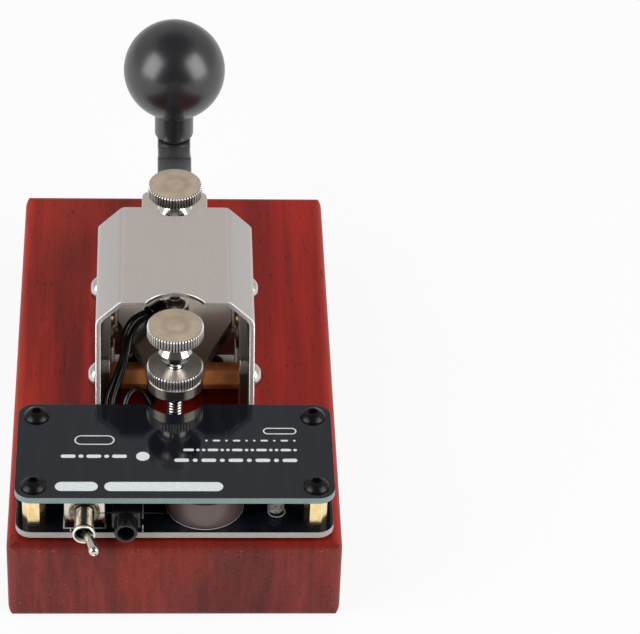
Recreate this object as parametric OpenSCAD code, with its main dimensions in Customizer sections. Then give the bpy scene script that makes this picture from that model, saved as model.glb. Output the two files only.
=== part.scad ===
// Straight telegraph practice key on a wooden base, with its own sounder board.
// Origin at the centre of the underside of the base, +Z up, the ball knob towards -Y,
// the sounder board towards +Y. All sizes in millimetres.

/* [Base] */
// Width of the wooden base
base_w = 74; // [70:1:90]
// Length of the wooden base
base_l = 131.2; // [110:0.2:160]
// Height of the wooden base
base_h = 21.2; // [18:0.2:26]
// Radius of the upright corners of the base
base_corner_r = 3; // [1:0.5:6]
// Radius of the eased edges of the base
base_edge_r = 2.3; // [0.5:0.1:3]

/* [Cover] */
// Width over the two walls of the arched cover
cover_w = 35.9; // [33:0.1:44]
// Height of the top of the cover above the floor
cover_top = 53.9; // [52:0.1:62]
// Length of the flat top of the cover
cover_top_l = 36; // [30:1:42]
// Middle of the cover along the base
cover_y = 2; // [0:0.5:4]
// Size of the sloped shoulders of the cover
cover_shoulder = 5.3; // [3:0.1:7]
// Thickness of the cover sheet
cover_t = 1.2; // [0.8:0.1:1.6]
// How far the front foot of a wall reaches past the flat top
cover_front_foot = 10.4; // [4:0.1:12]
// How far the rear foot of a wall reaches past the flat top
cover_rear_foot = 13.4; // [4:0.1:14]
// Radius of the half-round notches that clear the thumb screws
notch_r = 8; // [6:0.5:10]
// Depth of the half-round notches
notch_depth = 3.5; // [2:0.1:5]

/* [Bracket and pivot] */
// Thickness of the bracket sheet
bracket_t = 2; // [1.5:0.1:2.5]
// Length of the bracket walls
bracket_l = 39.2; // [36:0.2:44]
// Height of the bracket walls above the base
bracket_wall = 15.6; // [14:0.2:16]
// Length of the bracket floor
bracket_floor = 16; // [12:1:20]
// Place of the pivot along the base
pivot_y = 1.6; // [0:0.2:4]
// Height of the pivot and the cross bars above the base
pivot_up = 9.6; // [9:0.1:11]
// Distance between the two cross bars
bar_pitch = 32.2; // [30:0.2:34]
// Size across the flats of the brass cross bars
bar_af = 5.5; // [5:0.5:6]
// Diameter of the pivot axle
axle_d = 3; // [2:0.5:3]
// Outer diameter of a pivot bush
bush_d = 6; // [5:0.5:7]
// Running gap between the axle and its bushes, on the radius
axle_gap = 0.04; // [0.02:0.01:0.08]

/* [Lever] */
// Thickness of the lever plate
lever_t = 3; // [2:0.5:3]
// Gap from the top of the base to the underside of the lever
lever_up = 14.4; // [14:0.1:16]
// Width of the lever over the pivot
lever_wide = 26.4; // [20:0.2:27]
// Width of the front plate of the lever
lever_front_w = 15.7; // [12:0.1:18]
// Width of the lever at the front thumb screw
lever_waist_w = 11.8; // [9:0.1:12.5]
// Width of the arm
arm_w = 8.4; // [7:0.1:10]
// Place of the front edge of the front plate, before the pivot
front_plate_end = 44.8; // [42:0.2:50]
// Place of the first bend of the arm, before the pivot
arm_bend = 58.8; // [52:0.2:62]
// Drop of the arm from the plate to the knob
arm_drop = 12.2; // [8:0.2:14]
// Slope of the arm between its bends
arm_slope = 30; // [20:1:45]
// Place of the front thumb screw, before the pivot
front_screw = 24.7; // [22:0.1:27]
// Place of the rear thumb screw, behind the pivot
rear_screw = 25.1; // [23:0.1:25.5]
// Place of the contact screw, before the pivot
contact_screw_at = 38.5; // [36:0.1:40]
// Gap between the contacts when the key is at rest
contact_gap = 1; // [0.5:0.1:1.5]

/* [Knob] */
// Place of the ball knob, before the pivot
knob_at = 86.4; // [78:0.2:96]
// Diameter of the ball
ball_d = 25.4; // [20:0.2:32]
// Diameter of the neck under the ball
neck_d = 9.8; // [8:0.2:12]
// Height of the middle of the ball above the arm
ball_up = 19.7; // [16:0.1:24]

/* [Thumb screws] */
// Diameter of the knurled heads and lock nuts
thumb_d = 12.7; // [10:0.1:13]
// Height of a knurled head
thumb_h = 3; // [2:0.1:5]
// Diameter of the smooth collar under a head
collar_d = 8.1; // [6:0.1:9]
// Height of the smooth collar
collar_h = 4; // [2:0.1:5]
// Diameter of the narrow shoulder under the collar
shoulder_d = 6; // [5:0.1:7]
// Height of the narrow shoulder
shoulder_h = 2; // [1:0.1:3]
// Diameter of the thumb screw threads
thumb_thread_d = 3.5; // [3:0.5:4]
// Diameter of the contact screw and knob screw threads
thread_d = 4; // [3:0.5:4]
// Thickness of a lock nut
lock_nut_h = 2.8; // [2:0.1:4]
// Number of knurls round a head
knurls = 56; // [40:1:72]
// Depth of the knurls
knurl_depth = 0.25; // [0.1:0.05:0.4]
// Height of the underside of the front shoulder above the lever
front_head_up = 7.8; // [4:0.1:8.4]
// Height of the underside of the rear shoulder above the lever
rear_head_up = 5; // [4:0.1:8]

/* [Return spring] */
// Outer diameter of the return spring
spring_d = 4; // [3.6:0.1:4.8]
// Wire diameter of the return spring
spring_wire = 0.6; // [0.4:0.05:0.7]
// Number of turns of the return spring
spring_turns = 7; // [5:1:8]

/* [Boards] */
// Width of the two circuit boards
board_w = 70; // [66:1:80]
// Depth of the two circuit boards
board_d = 31.9; // [30:0.1:34]
// Thickness of a circuit board
board_t = 1.6; // [1:0.2:2]
// Middle of the boards along the base
board_y = 47.6; // [47.6:0.1:50]
// Corner radius of the boards
board_corner_r = 3.6; // [2:0.2:6]
// Distance between the board screws across the base
board_pitch_x = 61.8; // [58:0.2:64]
// Distance between the board screws along the base
board_pitch_y = 23.6; // [22:0.2:25]
// Height of the washers under the lower board
washer_h = 1; // [0.5:0.1:2]
// Height of the brass pillars between the boards
pillar_h = 8.4; // [8:0.2:12]
// Size across the flats of the brass pillars
pillar_af = 4.5; // [4:0.5:5.5]
// Radius of the notch in the upper board for the rear thumb screw
board_notch_r = 7.4; // [7:0.2:9]
// Depth of the notch in the upper board
board_notch_depth = 3.4; // [2:0.1:4]

/* [Sounder, lamp, switch and socket] */
// Diameter of the sounder
sounder_d = 17.1; // [12:0.1:17.6]
// Height of the sounder
sounder_h = 7.6; // [4:0.1:7.8]
// Diameter of the indicator lamp
lamp_d = 3; // [2:0.5:3]
// Height of the indicator lamp
lamp_h = 5.3; // [4:0.1:6]
// Width of the phone socket
socket_w = 6.3; // [6:0.1:7]
// Length of the phone socket housing
socket_l = 12; // [10:0.5:13]
// Height of the phone socket housing
socket_h = 5.2; // [5:0.1:6]
// Length of the round nose of the phone socket
nose_l = 4; // [2:0.5:5]
// Outer diameter of the round nose
nose_d = 5.2; // [4.8:0.1:5.2]
// Diameter of the hole for the phone plug
plug_hole_d = 3.6; // [3.55:0.01:3.7]
// Width of the toggle switch
switch_w = 8.9; // [8:0.1:10]
// Throw of the toggle lever from side to side, in degrees
switch_throw = 30; // [16:1:30]
// Diameter of the button cell
cell_d = 16; // [12:0.5:16]
// Thickness of the button cell
cell_h = 3.2; // [1.6:0.1:3.2]

/* [Small screws and wires] */
// Diameter of the small screws
screw_d = 3; // [2.5:0.5:3]
// Head diameter of the small screws
screw_head_d = 5.7; // [5:0.1:6]
// Head diameter of the side screws
side_head_d = 6; // [5.5:0.1:6.5]
// Diameter of the insulated wires
wire_d = 1.3; // [1:0.1:1.4]

/* [Hidden] */
$fn = 64;
// Gap between two faces that are pressed together
eps = 0.01;

// Heights, stacked up from the floor
base_top = base_h;
pivot_z = base_top + pivot_up;
lever_z = base_top + lever_up;
lever_top = lever_z + lever_t;
arm_z = lever_z - arm_drop;
lower_z = base_top + washer_h;
lower_top = lower_z + board_t;
upper_z = lower_top + pillar_h;
upper_top = upper_z + board_t;

// Places along the base
front_bar_y = pivot_y - bar_pitch / 2;
rear_bar_y = pivot_y + bar_pitch / 2;
front_screw_y = pivot_y - front_screw;
rear_screw_y = pivot_y + rear_screw;
contact_y = pivot_y - contact_screw_at;
plate_end_y = pivot_y - front_plate_end;
bend_y = pivot_y - arm_bend;
knob_y = pivot_y - knob_at;
cover_front_y = cover_y - cover_top_l / 2;
cover_rear_y = cover_y + cover_top_l / 2;
board_front_y = board_y - board_d / 2;

// Widths
bracket_w = cover_w - 2 * cover_t;
bay_w = bracket_w - 2 * bracket_t;
bush_flange_t = 0.5;
bush_flange_d = bush_d + 1.5;
side_play = 0.35;
block_w = bay_w - 2 * bush_flange_t - 2 * side_play;
block_d = 10;
block_drop = 3.5;
axle_end_room = 0.25;
axle_l = bracket_w - 2 * axle_end_room;
bracket_bend_r = 2;
bracket_round = 3;
bracket_top = base_top + bracket_wall;
cover_bend_r = 1.6;

// Plan of the lever
tail_rim = 0.05;
tail_r = thumb_d / 2 + tail_rim;
tail_shoulder_w = 2.26 * tail_r;
tail_neck_l = 5.2;
wide_half_l = 5.6;
front_half_l = 13;
waist_front = 2;
waist_rear = 1.6;
waist_slope = 2.7;
plate_round = 2;
arm_root = 3;

// Gaps that let one piece pass through another
screw_gap = 0.05;
hole_gap = 0.1;
wire_clear = 0.4;

// Screw parts
screw_head_h = 1.7;
side_head_h = 2.1;
side_screw_l = 9;
board_screw_l = 6;
base_bolt_l = 20;
base_bolt_grip = 3.4;
base_bolt_head = 5.6;
base_bolt_head_h = 2;
base_bolt_room = 0.4;
base_bolt_socket = 2.5;
base_bolt_seat = lower_top + base_bolt_grip - base_bolt_l;
bracket_screw_x = 8.6;
bracket_screw_y = 3.5;
bracket_screw_l = 12;
contact_head_d = 7.8;
contact_head_h = 2.2;
contact_screw_l = 12;
contact_nut_af = 7;
contact_nut_h = 2.4;
small_socket = 2;
large_socket = 2.5;
knob_screw_l = 14;
knob_head_d = 7;
knob_head_h = 2;
lug_screw_l = 6;
lug_head_d = 5;

// Ring terminal on the lever and the sleeve over its barrel
lug_t = 0.8;
lug_d = 6.6;
lug_turn = 45;
tongue_w = 3.2;
barrel_d = 3.4;
barrel_bore = 2.9;
barrel_up = 2;
barrel_from = 3.6;
barrel_l = 3.4;
barrel_lap = 0.6;
sleeve_d = 3.9;
sleeve_bore = 3.44;
sleeve_from = 4.4;
sleeve_l = 3.8;

// Thumb screw shafts: the front one ends on the spring, the rear one on its stop
stop_h = 2.6;
stop_gap = 0.05;
stop_d = 8;
spring_gap = 0.1;
stud_d = 3;
stud_l = 8;
cup_wall = 1;
cup_d = 7;
cup_flange_d = 8.6;
cup_flange_t = 1;
anvil_d = 5;
anvil_flange_t = 1.2;
contact_ease = 0.5;
front_tip_z = pivot_z + 0.2;
rear_tip_z = base_top + stop_h + stop_gap;
cup_floor_z = base_top - 2;
anvil_top = lever_top - contact_screw_l - contact_gap;

// Return spring, one helix whose end turns close up
spring_low = cup_floor_z + spring_gap;
spring_high = front_tip_z - spring_gap;
spring_rings = 8;
spring_sides = 6;
spring_end_rise = 1.8 * spring_wire;
spring_mean_r = (spring_d - spring_wire) / 2;
spring_span = spring_high - spring_low - spring_wire;
spring_steps = spring_turns * spring_rings;

// Board fittings
socket_x = 10.7;
socket_z = lower_top + socket_h / 2;
socket_rear_y = 62.8;
switch_x = 19.8;
switch_y = 65;
switch_z = lower_top + 3.6;
switch_rear_y = 60.8;
switch_body_h = 7;
switch_body_l = 6.6;
frame_t = 0.6;
frame_up = 1.3;
frame_arm_l = 5;
bushing_l = 7.6;
bushing_d = 4.3;
lip_d = 5;
lip_l = 0.8;
bat_l = 9.9;
sounder_x = -6.6;
sounder_y = 53.9;
lamp_x = -22.3;
lamp_y = 55.4;
cell_x = -19;
cell_y = 41.4;
holder_wall = 0.6;
holder_floor = 0.8;
cell_room = 0.4;
foot_slot_gap = 0.5;

// Routes of the wires inside the key, chosen by hand; heights are above the base
wire_sides = 8;
lever_wire_a = [[4.6, 7.2, 19.4], [6.6, 9, 19.7], [8.6, 11.6, 19.7], [10, 14.6, 18.8],
    [10.7, 17.6, 17], [11.5, 20.6, 14.7], [12.8, 23.4, 12], [13.9, 26.2, 9.4], [13.8, 29, 7.4],
    [13, 32, 6.2], [12.1, 34.3, 5], [11.7, 35.4, 3.8], [11.7, 35.5, 2.75]];
lever_wire_b = [[5.6, 6.2, 19.4], [8, 8, 19.8], [10.1, 10.4, 19.6], [11.5, 13, 18.1],
    [11.8, 15.9, 16], [12.4, 19, 14], [13.9, 22, 11.8], [15.3, 24.8, 9.5], [15.7, 27.2, 7.4],
    [15.5, 29.8, 6], [14.9, 32.4, 5.4], [14.1, 34.4, 4.8], [13.7, 35.3, 3.9], [13.7, 35.4, 2.75]];
contact_wire_path = [[9.6, 35.6, 2.75], [9.6, 35.5, 3.8], [10.2, 33.8, 4.9], [11, 31.4, 6],
    [11.4, 29.2, 7.8], [11, 27.2, 10], [9.7, 25.5, 11.4], [7.9, 24, 10.6], [6.5, 22.9, 7.4],
    [5.6, 22.2, 4], [5.2, 20.6, 1.6], [5, 18, 0.8], [4.8, 14.6, 0.9], [4.8, 12.4, 1.6],
    [4.8, 10.6, 2.8], [4.8, 8, 3], [4.8, 0, 2.9], [4.8, -5, 3], [4.9, -7.6, 2.8], [5.1, -9.6, 1.6],
    [5.4, -12, 0.9], [5.8, -20, 0.8], [5.7, -26, 0.8], [4.9, -31, 1], [4.2, -33.2, 1.7],
    [3.4, -35.2, 2]];

// Colours
wood_col = [0.45, 0.13, 0.11];
satin_col = [0.72, 0.71, 0.7];
steel_col = [0.6, 0.58, 0.57];
nickel_col = [0.66, 0.63, 0.6];
brass_col = [0.8, 0.6, 0.25];
board_col = [0.13, 0.14, 0.16];
black_col = [0.08, 0.08, 0.09];
lamp_col = [0.85, 0.88, 0.9];
red_col = [0.6, 0.1, 0.08];
cream_col = [0.85, 0.83, 0.76];
white_col = [0.9, 0.9, 0.88];

// Shared shapes

function unit(v) = v / norm(v);

// A rectangle with four round corners, centred
module rounded_rect(w, d, r) {
    square([w - 2 * r, d], center = true);
    square([w, d - 2 * r], center = true);
    for (x = [-1, 1], y = [-1, 1])
        translate([x * (w / 2 - r), y * (d / 2 - r)]) circle(r);
}

// Puts a flat outline drawn in y and z into the world and gives it a width along x
module along_x(w) {
    rotate([90, 0, 90]) linear_extrude(w, center = true) children();
}

// Puts a flat outline drawn in x and z into the world and gives it a length along y
module along_y(l) {
    rotate([90, 0, 0]) linear_extrude(l, center = true) children();
}

// The outline of a bent sheet: straight runs along the given middle line, each corner filled
// inside and cut round outside
module bent_sheet(path, t, r) {
    last = len(path) - 1;
    function heading(i) = unit(path[i + 1] - path[i]);
    function left(i) = [-heading(i)[1], heading(i)[0]];
    function half_turn(i) = acos(heading(i - 1) * heading(i)) / 2;
    function past(i) = (i == 0 || i == last) ? 0 : t / 2 * tan(half_turn(i));
    difference() {
        union() {
            for (i = [0 : last - 1]) {
                start = path[i] - heading(i) * past(i);
                end = path[i + 1] + heading(i) * past(i + 1);
                side = left(i) * t / 2;
                polygon([start + side, end + side, end - side, start - side]);
            }
            for (i = [1 : last - 1])
                bend_wedge(path[i], heading(i - 1), heading(i), r, 1, r - t / 2);
        }
        for (i = [1 : last - 1])
            bend_wedge(path[i], heading(i - 1), heading(i), r, 2, r + t / 2);
    }
}

// The wedge between the start and end of a bend, scaled from the centre of the bend, without
// the disc about that centre
module bend_wedge(corner, before, after, r, reach, disc_r) {
    setback = r * tan(acos(before * after) / 2);
    turn = before[0] * after[1] - before[1] * after[0] > 0 ? 1 : -1;
    centre = corner - before * setback + [-before[1], before[0]] * turn * r;
    ends = turn > 0 ? [after, -before] * setback : [-before, after] * setback;
    difference() {
        polygon([centre, centre + (corner + ends[0] - centre) * reach,
            centre + (corner - centre) * reach, centre + (corner + ends[1] - centre) * reach]);
        translate(centre) circle(disc_r);
    }
}

// A dome head over a straight shank with a hexagon socket; the head sits on z = 0
module button_screw(d, l, head_d, head_h, socket_af) {
    rim = 0.3;
    root = 0.2;
    socket_floor = 0.4 * head_h;
    dome_h = head_h - rim;
    dome_r = (head_d * head_d / 4 + dome_h * dome_h) / (2 * dome_h);
    difference() {
        rotate_extrude() intersection() {
            translate([0, head_h - dome_r]) circle(dome_r);
            square([head_d / 2, head_h + 1]);
        }
        translate([0, 0, socket_floor]) cylinder(d = socket_af / cos(30), h = head_h, $fn = 6);
    }
    translate([0, 0, -l]) cylinder(d = d, h = l + root);
}

// A disc with a knurled band round its rim between eased ends
module knurled_disc(d, h) {
    ease = 0.3;
    tips = 2 * knurls;
    core_r = d / 2 - 1.2 * knurl_depth;
    translate([0, 0, ease]) linear_extrude(h - 2 * ease)
        polygon([for (i = [0 : tips - 1])
            (d / 2 - (i % 2) * knurl_depth) * [cos(i * 360 / tips), sin(i * 360 / tips)]]);
    rotate_extrude()
        polygon([[0, 0], [core_r - ease, 0], [core_r, ease], [core_r, h - ease],
            [core_r - ease, h], [0, h]]);
}

// A thumb screw standing on its shoulder: knurled head, collar, shoulder and a shaft down to tip
module thumb_screw(tip) {
    ease = 0.5;
    dimple_d = 1.3;
    dimple_h = 0.3;
    head_z = shoulder_h + collar_h;
    cylinder(d1 = shoulder_d - 2 * ease, d2 = shoulder_d, h = ease);
    translate([0, 0, ease]) cylinder(d = shoulder_d, h = shoulder_h - ease);
    translate([0, 0, shoulder_h]) cylinder(d = collar_d, h = collar_h);
    difference() {
        translate([0, 0, head_z]) knurled_disc(thumb_d, thumb_h);
        translate([0, 0, head_z + thumb_h - dimple_h])
            cylinder(d1 = 0, d2 = 2 * dimple_d, h = 2 * dimple_h);
    }
    translate([0, 0, tip]) cylinder(d = thumb_thread_d, h = -tip);
}

// A knurled lock nut lying on z = 0
module lock_nut() {
    difference() {
        knurled_disc(thumb_d, lock_nut_h);
        translate([0, 0, -1]) cylinder(d = thumb_thread_d + 2 * screw_gap, h = lock_nut_h + 2);
    }
}

// The four board screw places
module at_board_screws() {
    for (x = [-1, 1], y = [-1, 1])
        translate([x * board_pitch_x / 2, board_y + y * board_pitch_y / 2, 0]) children();
}

// Points of a round tube of triangles swept along a path
function ring_frame(path, i) =
    let (a = path[max(i - 1, 0)], b = path[min(i + 1, len(path) - 1)], t = unit(b - a),
        side = unit(cross(t, abs(t[2]) < 0.9 ? [0, 0, 1] : [0, 1, 0])))
    [side, cross(side, t)];

module tube_along(path, r, sides) {
    rings = len(path);
    points = [for (i = [0 : rings - 1], k = [0 : sides - 1])
        let (f = ring_frame(path, i), a = 360 * k / sides)
        path[i] + r * (f[0] * cos(a) + f[1] * sin(a))];
    walls = [for (i = [0 : rings - 2], k = [0 : sides - 1])
        let (a = i * sides + k, b = i * sides + (k + 1) % sides)
        each [[a, b, a + sides], [b, b + sides, a + sides]]];
    first_cap = [for (k = [1 : sides - 2]) [0, k + 1, k]];
    last = (rings - 1) * sides;
    last_cap = [for (k = [1 : sides - 2]) [last, last + k, last + k + 1]];
    polyhedron(points = points, faces = concat(walls, first_cap, last_cap));
}

// Base

// Wooden block with eased edges, bored from below for the board bolts
module wood_base() {
    color(wood_col) difference() {
        translate([0, 0, base_h / 2]) intersection() {
            linear_extrude(base_h, center = true) rounded_rect(base_w, base_l, base_corner_r);
            along_x(base_w) rounded_rect(base_l, base_h, base_edge_r);
            along_y(base_l) rounded_rect(base_w, base_h, base_edge_r);
        }
        at_board_screws() {
            translate([0, 0, -1]) cylinder(d = base_bolt_head + 2 * base_bolt_room, h = base_bolt_seat + 1);
            translate([0, 0, 1]) cylinder(d = screw_d + 2 * hole_gap, h = base_h);
        }
        for (x = [-1, 1])
            translate([x * bracket_screw_x, bracket_screw_y, base_top - bracket_screw_l])
                cylinder(d = screw_d + 2 * screw_gap, h = bracket_screw_l + 1);
        for (y = [contact_y, rear_screw_y])
            translate([0, y, base_top - stud_l - screw_gap])
                cylinder(d = stud_d + 2 * screw_gap, h = stud_l + 1);
        translate([0, front_screw_y, cup_floor_z - cup_wall - screw_gap])
            cylinder(d = cup_d + 2 * screw_gap, h = base_h);
    }
}

// Brass cup let into the wood, which the return spring stands in
module spring_cup() {
    color(brass_col) translate([0, front_screw_y, 0]) difference() {
        union() {
            translate([0, 0, cup_floor_z - cup_wall])
                cylinder(d = cup_d, h = base_top - cup_floor_z + cup_wall);
            translate([0, 0, base_top]) cylinder(d = cup_flange_d, h = cup_flange_t);
        }
        translate([0, 0, cup_floor_z]) cylinder(d = spring_d + 2 * wire_clear, h = base_h);
    }
}

// A stud pressed into the wood, which carries a contact
module press_stud() {
    translate([0, 0, base_top - stud_l]) cylinder(d = stud_d, h = stud_l);
}

// Brass post that the contact screw strikes
module anvil() {
    color(brass_col) translate([0, contact_y, 0]) {
        press_stud();
        translate([0, 0, base_top]) cylinder(d = stop_d, h = anvil_flange_t);
        translate([0, 0, base_top]) cylinder(d = anvil_d, h = anvil_top - base_top - contact_ease);
        translate([0, 0, anvil_top - contact_ease])
            cylinder(d1 = anvil_d, d2 = anvil_d - 2 * contact_ease, h = contact_ease);
    }
}

// Steel pad under the tip of the rear thumb screw
module rear_stop() {
    color(steel_col) translate([0, rear_screw_y, 0]) {
        press_stud();
        translate([0, 0, base_top]) cylinder(d = stop_d, h = stop_h - contact_ease);
        translate([0, 0, base_top + stop_h - contact_ease])
            cylinder(d1 = stop_d, d2 = stop_d - 2 * contact_ease, h = contact_ease);
    }
}

// Bracket, cover and their bars

// Holes through both walls for the four side screws
module side_screw_holes(d) {
    for (y = [front_bar_y, rear_bar_y])
        translate([0, y, pivot_z]) rotate([0, 90, 0]) cylinder(d = d, h = cover_w + 2, center = true);
}

// U-shaped bracket: two upright walls joined by a short floor that is screwed to the base
module bracket() {
    mid = (bracket_w - bracket_t) / 2;
    low = base_top + bracket_t / 2;
    color(satin_col) difference() {
        intersection() {
            translate([0, pivot_y, 0]) along_y(bracket_l)
                bent_sheet([[-mid, bracket_top], [-mid, low], [mid, low], [mid, bracket_top]],
                    bracket_t, bracket_bend_r);
            translate([0, pivot_y, base_top + bracket_wall / 2 - bracket_round / 2])
                along_x(bracket_w + 1)
                rounded_rect(bracket_l, bracket_wall + bracket_round, bracket_round);
        }
        for (s = [-1, 1])
            translate([0, pivot_y + s * (bracket_floor + bracket_l) / 2, base_top + bracket_t])
                cube([bay_w, bracket_l - eps, 2 * bracket_t + 2], center = true);
        side_screw_holes(screw_d + 2 * hole_gap);
        translate([0, pivot_y, pivot_z]) rotate([0, 90, 0])
            cylinder(d = bush_d, h = bracket_w + 2, center = true);
        for (x = [-1, 1])
            translate([x * bracket_screw_x, bracket_screw_y, base_top - 1])
                cylinder(d = screw_d + 2 * hole_gap, h = bracket_t + 2);
    }
}

module bracket_screws() {
    color(black_col) for (x = [-1, 1])
        translate([x * bracket_screw_x, bracket_screw_y, base_top + bracket_t])
            button_screw(screw_d, bracket_screw_l, screw_head_d, screw_head_h, small_socket);
}

// Arched cover: a bent sheet cut to sloping feet, with a notch for each thumb screw
module cover() {
    mid = (cover_w - cover_t) / 2;
    high = cover_top - cover_t / 2;
    flat = mid - cover_shoulder;
    shoulder_z = cover_top - cover_shoulder;
    length = cover_top_l + 2 * max(cover_front_foot, cover_rear_foot);
    color(satin_col) difference() {
        intersection() {
            translate([0, cover_y, 0]) along_y(length)
                bent_sheet([[-mid, base_top], [-mid, high - cover_shoulder], [-flat, high], [flat, high],
                    [mid, high - cover_shoulder], [mid, base_top]], cover_t, cover_bend_r);
            along_x(cover_w + 1)
                polygon([[cover_front_y - cover_front_foot, base_top], [cover_front_y, shoulder_z],
                    [cover_front_y, cover_top], [cover_rear_y, cover_top], [cover_rear_y, shoulder_z],
                    [cover_rear_y + cover_rear_foot, base_top]]);
        }
        translate([0, cover_front_y + notch_depth - notch_r, cover_top - 5]) cylinder(r = notch_r, h = 10);
        translate([0, cover_rear_y - notch_depth + notch_r, cover_top - 5]) cylinder(r = notch_r, h = 10);
        side_screw_holes(screw_d + 2 * hole_gap);
    }
}

module side_screws() {
    color(steel_col) for (side = [0, 180], y = [front_bar_y, rear_bar_y])
        translate([0, y, pivot_z]) rotate([0, 0, side]) translate([cover_w / 2, 0, 0]) rotate([0, 90, 0])
            button_screw(screw_d, side_screw_l, side_head_d, side_head_h, small_socket);
}

// Hexagonal bar with a corner to the front and rear, tapped at both ends
module cross_bar(y) {
    tap_room = 0.6;
    hole_l = side_screw_l - cover_t - bracket_t + tap_room;
    color(brass_col) translate([0, y, pivot_z]) rotate([0, 90, 0]) difference() {
        rotate([0, 0, 30]) cylinder(d = bar_af / cos(30), h = bay_w, center = true, $fn = 6);
        for (s = [-1, 1])
            translate([0, 0, s * bay_w / 2])
                cylinder(d = screw_d + 2 * screw_gap, h = 2 * hole_l, center = true);
    }
}

module front_cross_bar() {
    cross_bar(front_bar_y);
}

module rear_cross_bar() {
    cross_bar(rear_bar_y);
}

// Flanged bushes that carry the pivot axle
module pivot_bushes() {
    color(brass_col) for (side = [0, 180])
        translate([0, pivot_y, pivot_z]) rotate([0, 0, side]) rotate([0, 90, 0]) difference() {
            union() {
                translate([0, 0, bay_w / 2]) cylinder(d = bush_d, h = bracket_t);
                translate([0, 0, bay_w / 2 - bush_flange_t]) cylinder(d = bush_flange_d, h = bush_flange_t);
            }
            cylinder(d = axle_d + 2 * axle_gap, h = cover_w);
        }
}

// Lever and what rides on it

// Plan of the flat plate, from the round tail to the front plate
module lever_plan() {
    wide = lever_wide / 2;
    front = lever_front_w / 2;
    waist = lever_waist_w / 2;
    tail = tail_shoulder_w / 2;
    one_side = [[tail_r, rear_screw_y], [tail, rear_screw_y - tail_neck_l], [wide, pivot_y + wide_half_l],
        [wide, pivot_y - wide_half_l], [front, pivot_y - front_half_l],
        [front, front_screw_y + waist_rear + waist_slope], [waist, front_screw_y + waist_rear],
        [waist, front_screw_y - waist_front], [front, front_screw_y - waist_front - waist_slope],
        [front, plate_end_y + plate_round]];
    last = len(one_side) - 1;
    other_side = [for (i = [0 : last]) [-one_side[last - i][0], one_side[last - i][1]]];
    translate([0, rear_screw_y]) circle(tail_r);
    polygon(concat(one_side, other_side));
    translate([0, plate_end_y + 2 * plate_round]) rounded_rect(lever_front_w, 4 * plate_round, plate_round);
}

// Stainless lever: flat plate and an arm that steps down to the knob
module lever() {
    mid_z = lever_z + lever_t / 2;
    low_z = arm_z + lever_t / 2;
    run = arm_drop / tan(arm_slope);
    end_rim = 1;
    arm_end = knob_y - arm_w / 2 - end_rim;
    color(steel_col) difference() {
        union() {
            translate([0, 0, lever_z]) linear_extrude(lever_t) lever_plan();
            intersection() {
                along_x(arm_w)
                    bent_sheet([[plate_end_y + arm_root, mid_z], [bend_y, mid_z], [bend_y - run, low_z],
                        [arm_end, low_z]], lever_t, lever_t);
                linear_extrude(cover_top) {
                    translate([-arm_w / 2, arm_end + arm_w / 2])
                        square([arm_w, plate_end_y + arm_root + 1 - arm_end - arm_w / 2]);
                    translate([0, arm_end + arm_w / 2]) circle(d = arm_w);
                }
            }
        }
        for (y = [front_screw_y, rear_screw_y])
            translate([0, y, lever_z - 1]) cylinder(d = thumb_thread_d + 2 * screw_gap, h = lever_t + 2);
        translate([0, contact_y, lever_z - 1]) cylinder(d = thread_d + 2 * screw_gap, h = lever_t + 2);
        translate([0, pivot_y, lever_z - 1]) cylinder(d = screw_d + 2 * screw_gap, h = lever_t + 2);
        translate([0, knob_y, arm_z - 1]) cylinder(d = thread_d + 2 * screw_gap, h = lever_t + 2);
    }
}

// Block under the lever that grips the axle
module pivot_block() {
    low = pivot_z - block_drop;
    corner_r = 1.2;
    tap_floor = 0.6;
    color(satin_col) difference() {
        translate([0, pivot_y, (low + lever_z) / 2]) along_x(block_w)
            rounded_rect(block_d, lever_z - low, corner_r);
        translate([0, pivot_y, pivot_z]) rotate([0, 90, 0])
            cylinder(d = axle_d + 2 * eps, h = block_w + 2, center = true);
        translate([0, pivot_y, pivot_z + axle_d / 2 + tap_floor])
            cylinder(d = screw_d + 2 * screw_gap, h = lever_up);
    }
}

module pivot_axle() {
    color(steel_col) translate([0, pivot_y, pivot_z]) rotate([0, 90, 0])
        cylinder(d = axle_d, h = axle_l, center = true);
}

// Puts a part that lies along x on top of the lever, in the direction of the ring terminal
module along_lug() {
    translate([0, pivot_y, lever_top]) rotate([0, 0, lug_turn]) children();
}

// A tube along x at the height of the barrel
module barrel_tube(from, l, outer_d, bore) {
    translate([from, 0, barrel_up]) rotate([0, 90, 0]) difference() {
        cylinder(d = outer_d, h = l);
        translate([0, 0, -1]) cylinder(d = bore, h = l + 2);
    }
}

// Ring terminal on top of the lever, with a barrel that takes the two wires
module wire_lug() {
    color(nickel_col) along_lug() {
        difference() {
            union() {
                cylinder(d = lug_d, h = lug_t);
                translate([0, -tongue_w / 2, 0]) cube([barrel_from + barrel_lap, tongue_w, lug_t]);
            }
            translate([0, 0, -1]) cylinder(d = screw_d + 2 * hole_gap, h = lug_t + 2);
        }
        barrel_tube(barrel_from, barrel_l, barrel_d, barrel_bore);
    }
}

// Black sleeve shrunk over the barrel
module lug_sleeve() {
    color(black_col) along_lug() barrel_tube(sleeve_from, sleeve_l, sleeve_d, sleeve_bore);
}

module lug_screw() {
    color(steel_col) translate([0, pivot_y, lever_top + lug_t])
        button_screw(screw_d, lug_screw_l, lug_head_d, screw_head_h, small_socket);
}

module contact_screw() {
    color(steel_col) translate([0, contact_y, lever_top])
        button_screw(thread_d, contact_screw_l, contact_head_d, contact_head_h, large_socket);
}

module contact_nut() {
    color(steel_col) translate([0, contact_y, lever_z - contact_nut_h]) difference() {
        cylinder(d = contact_nut_af / cos(30), h = contact_nut_h, $fn = 6);
        translate([0, 0, -1]) cylinder(d = thread_d + 2 * screw_gap, h = contact_nut_h + 2);
    }
}

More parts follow.
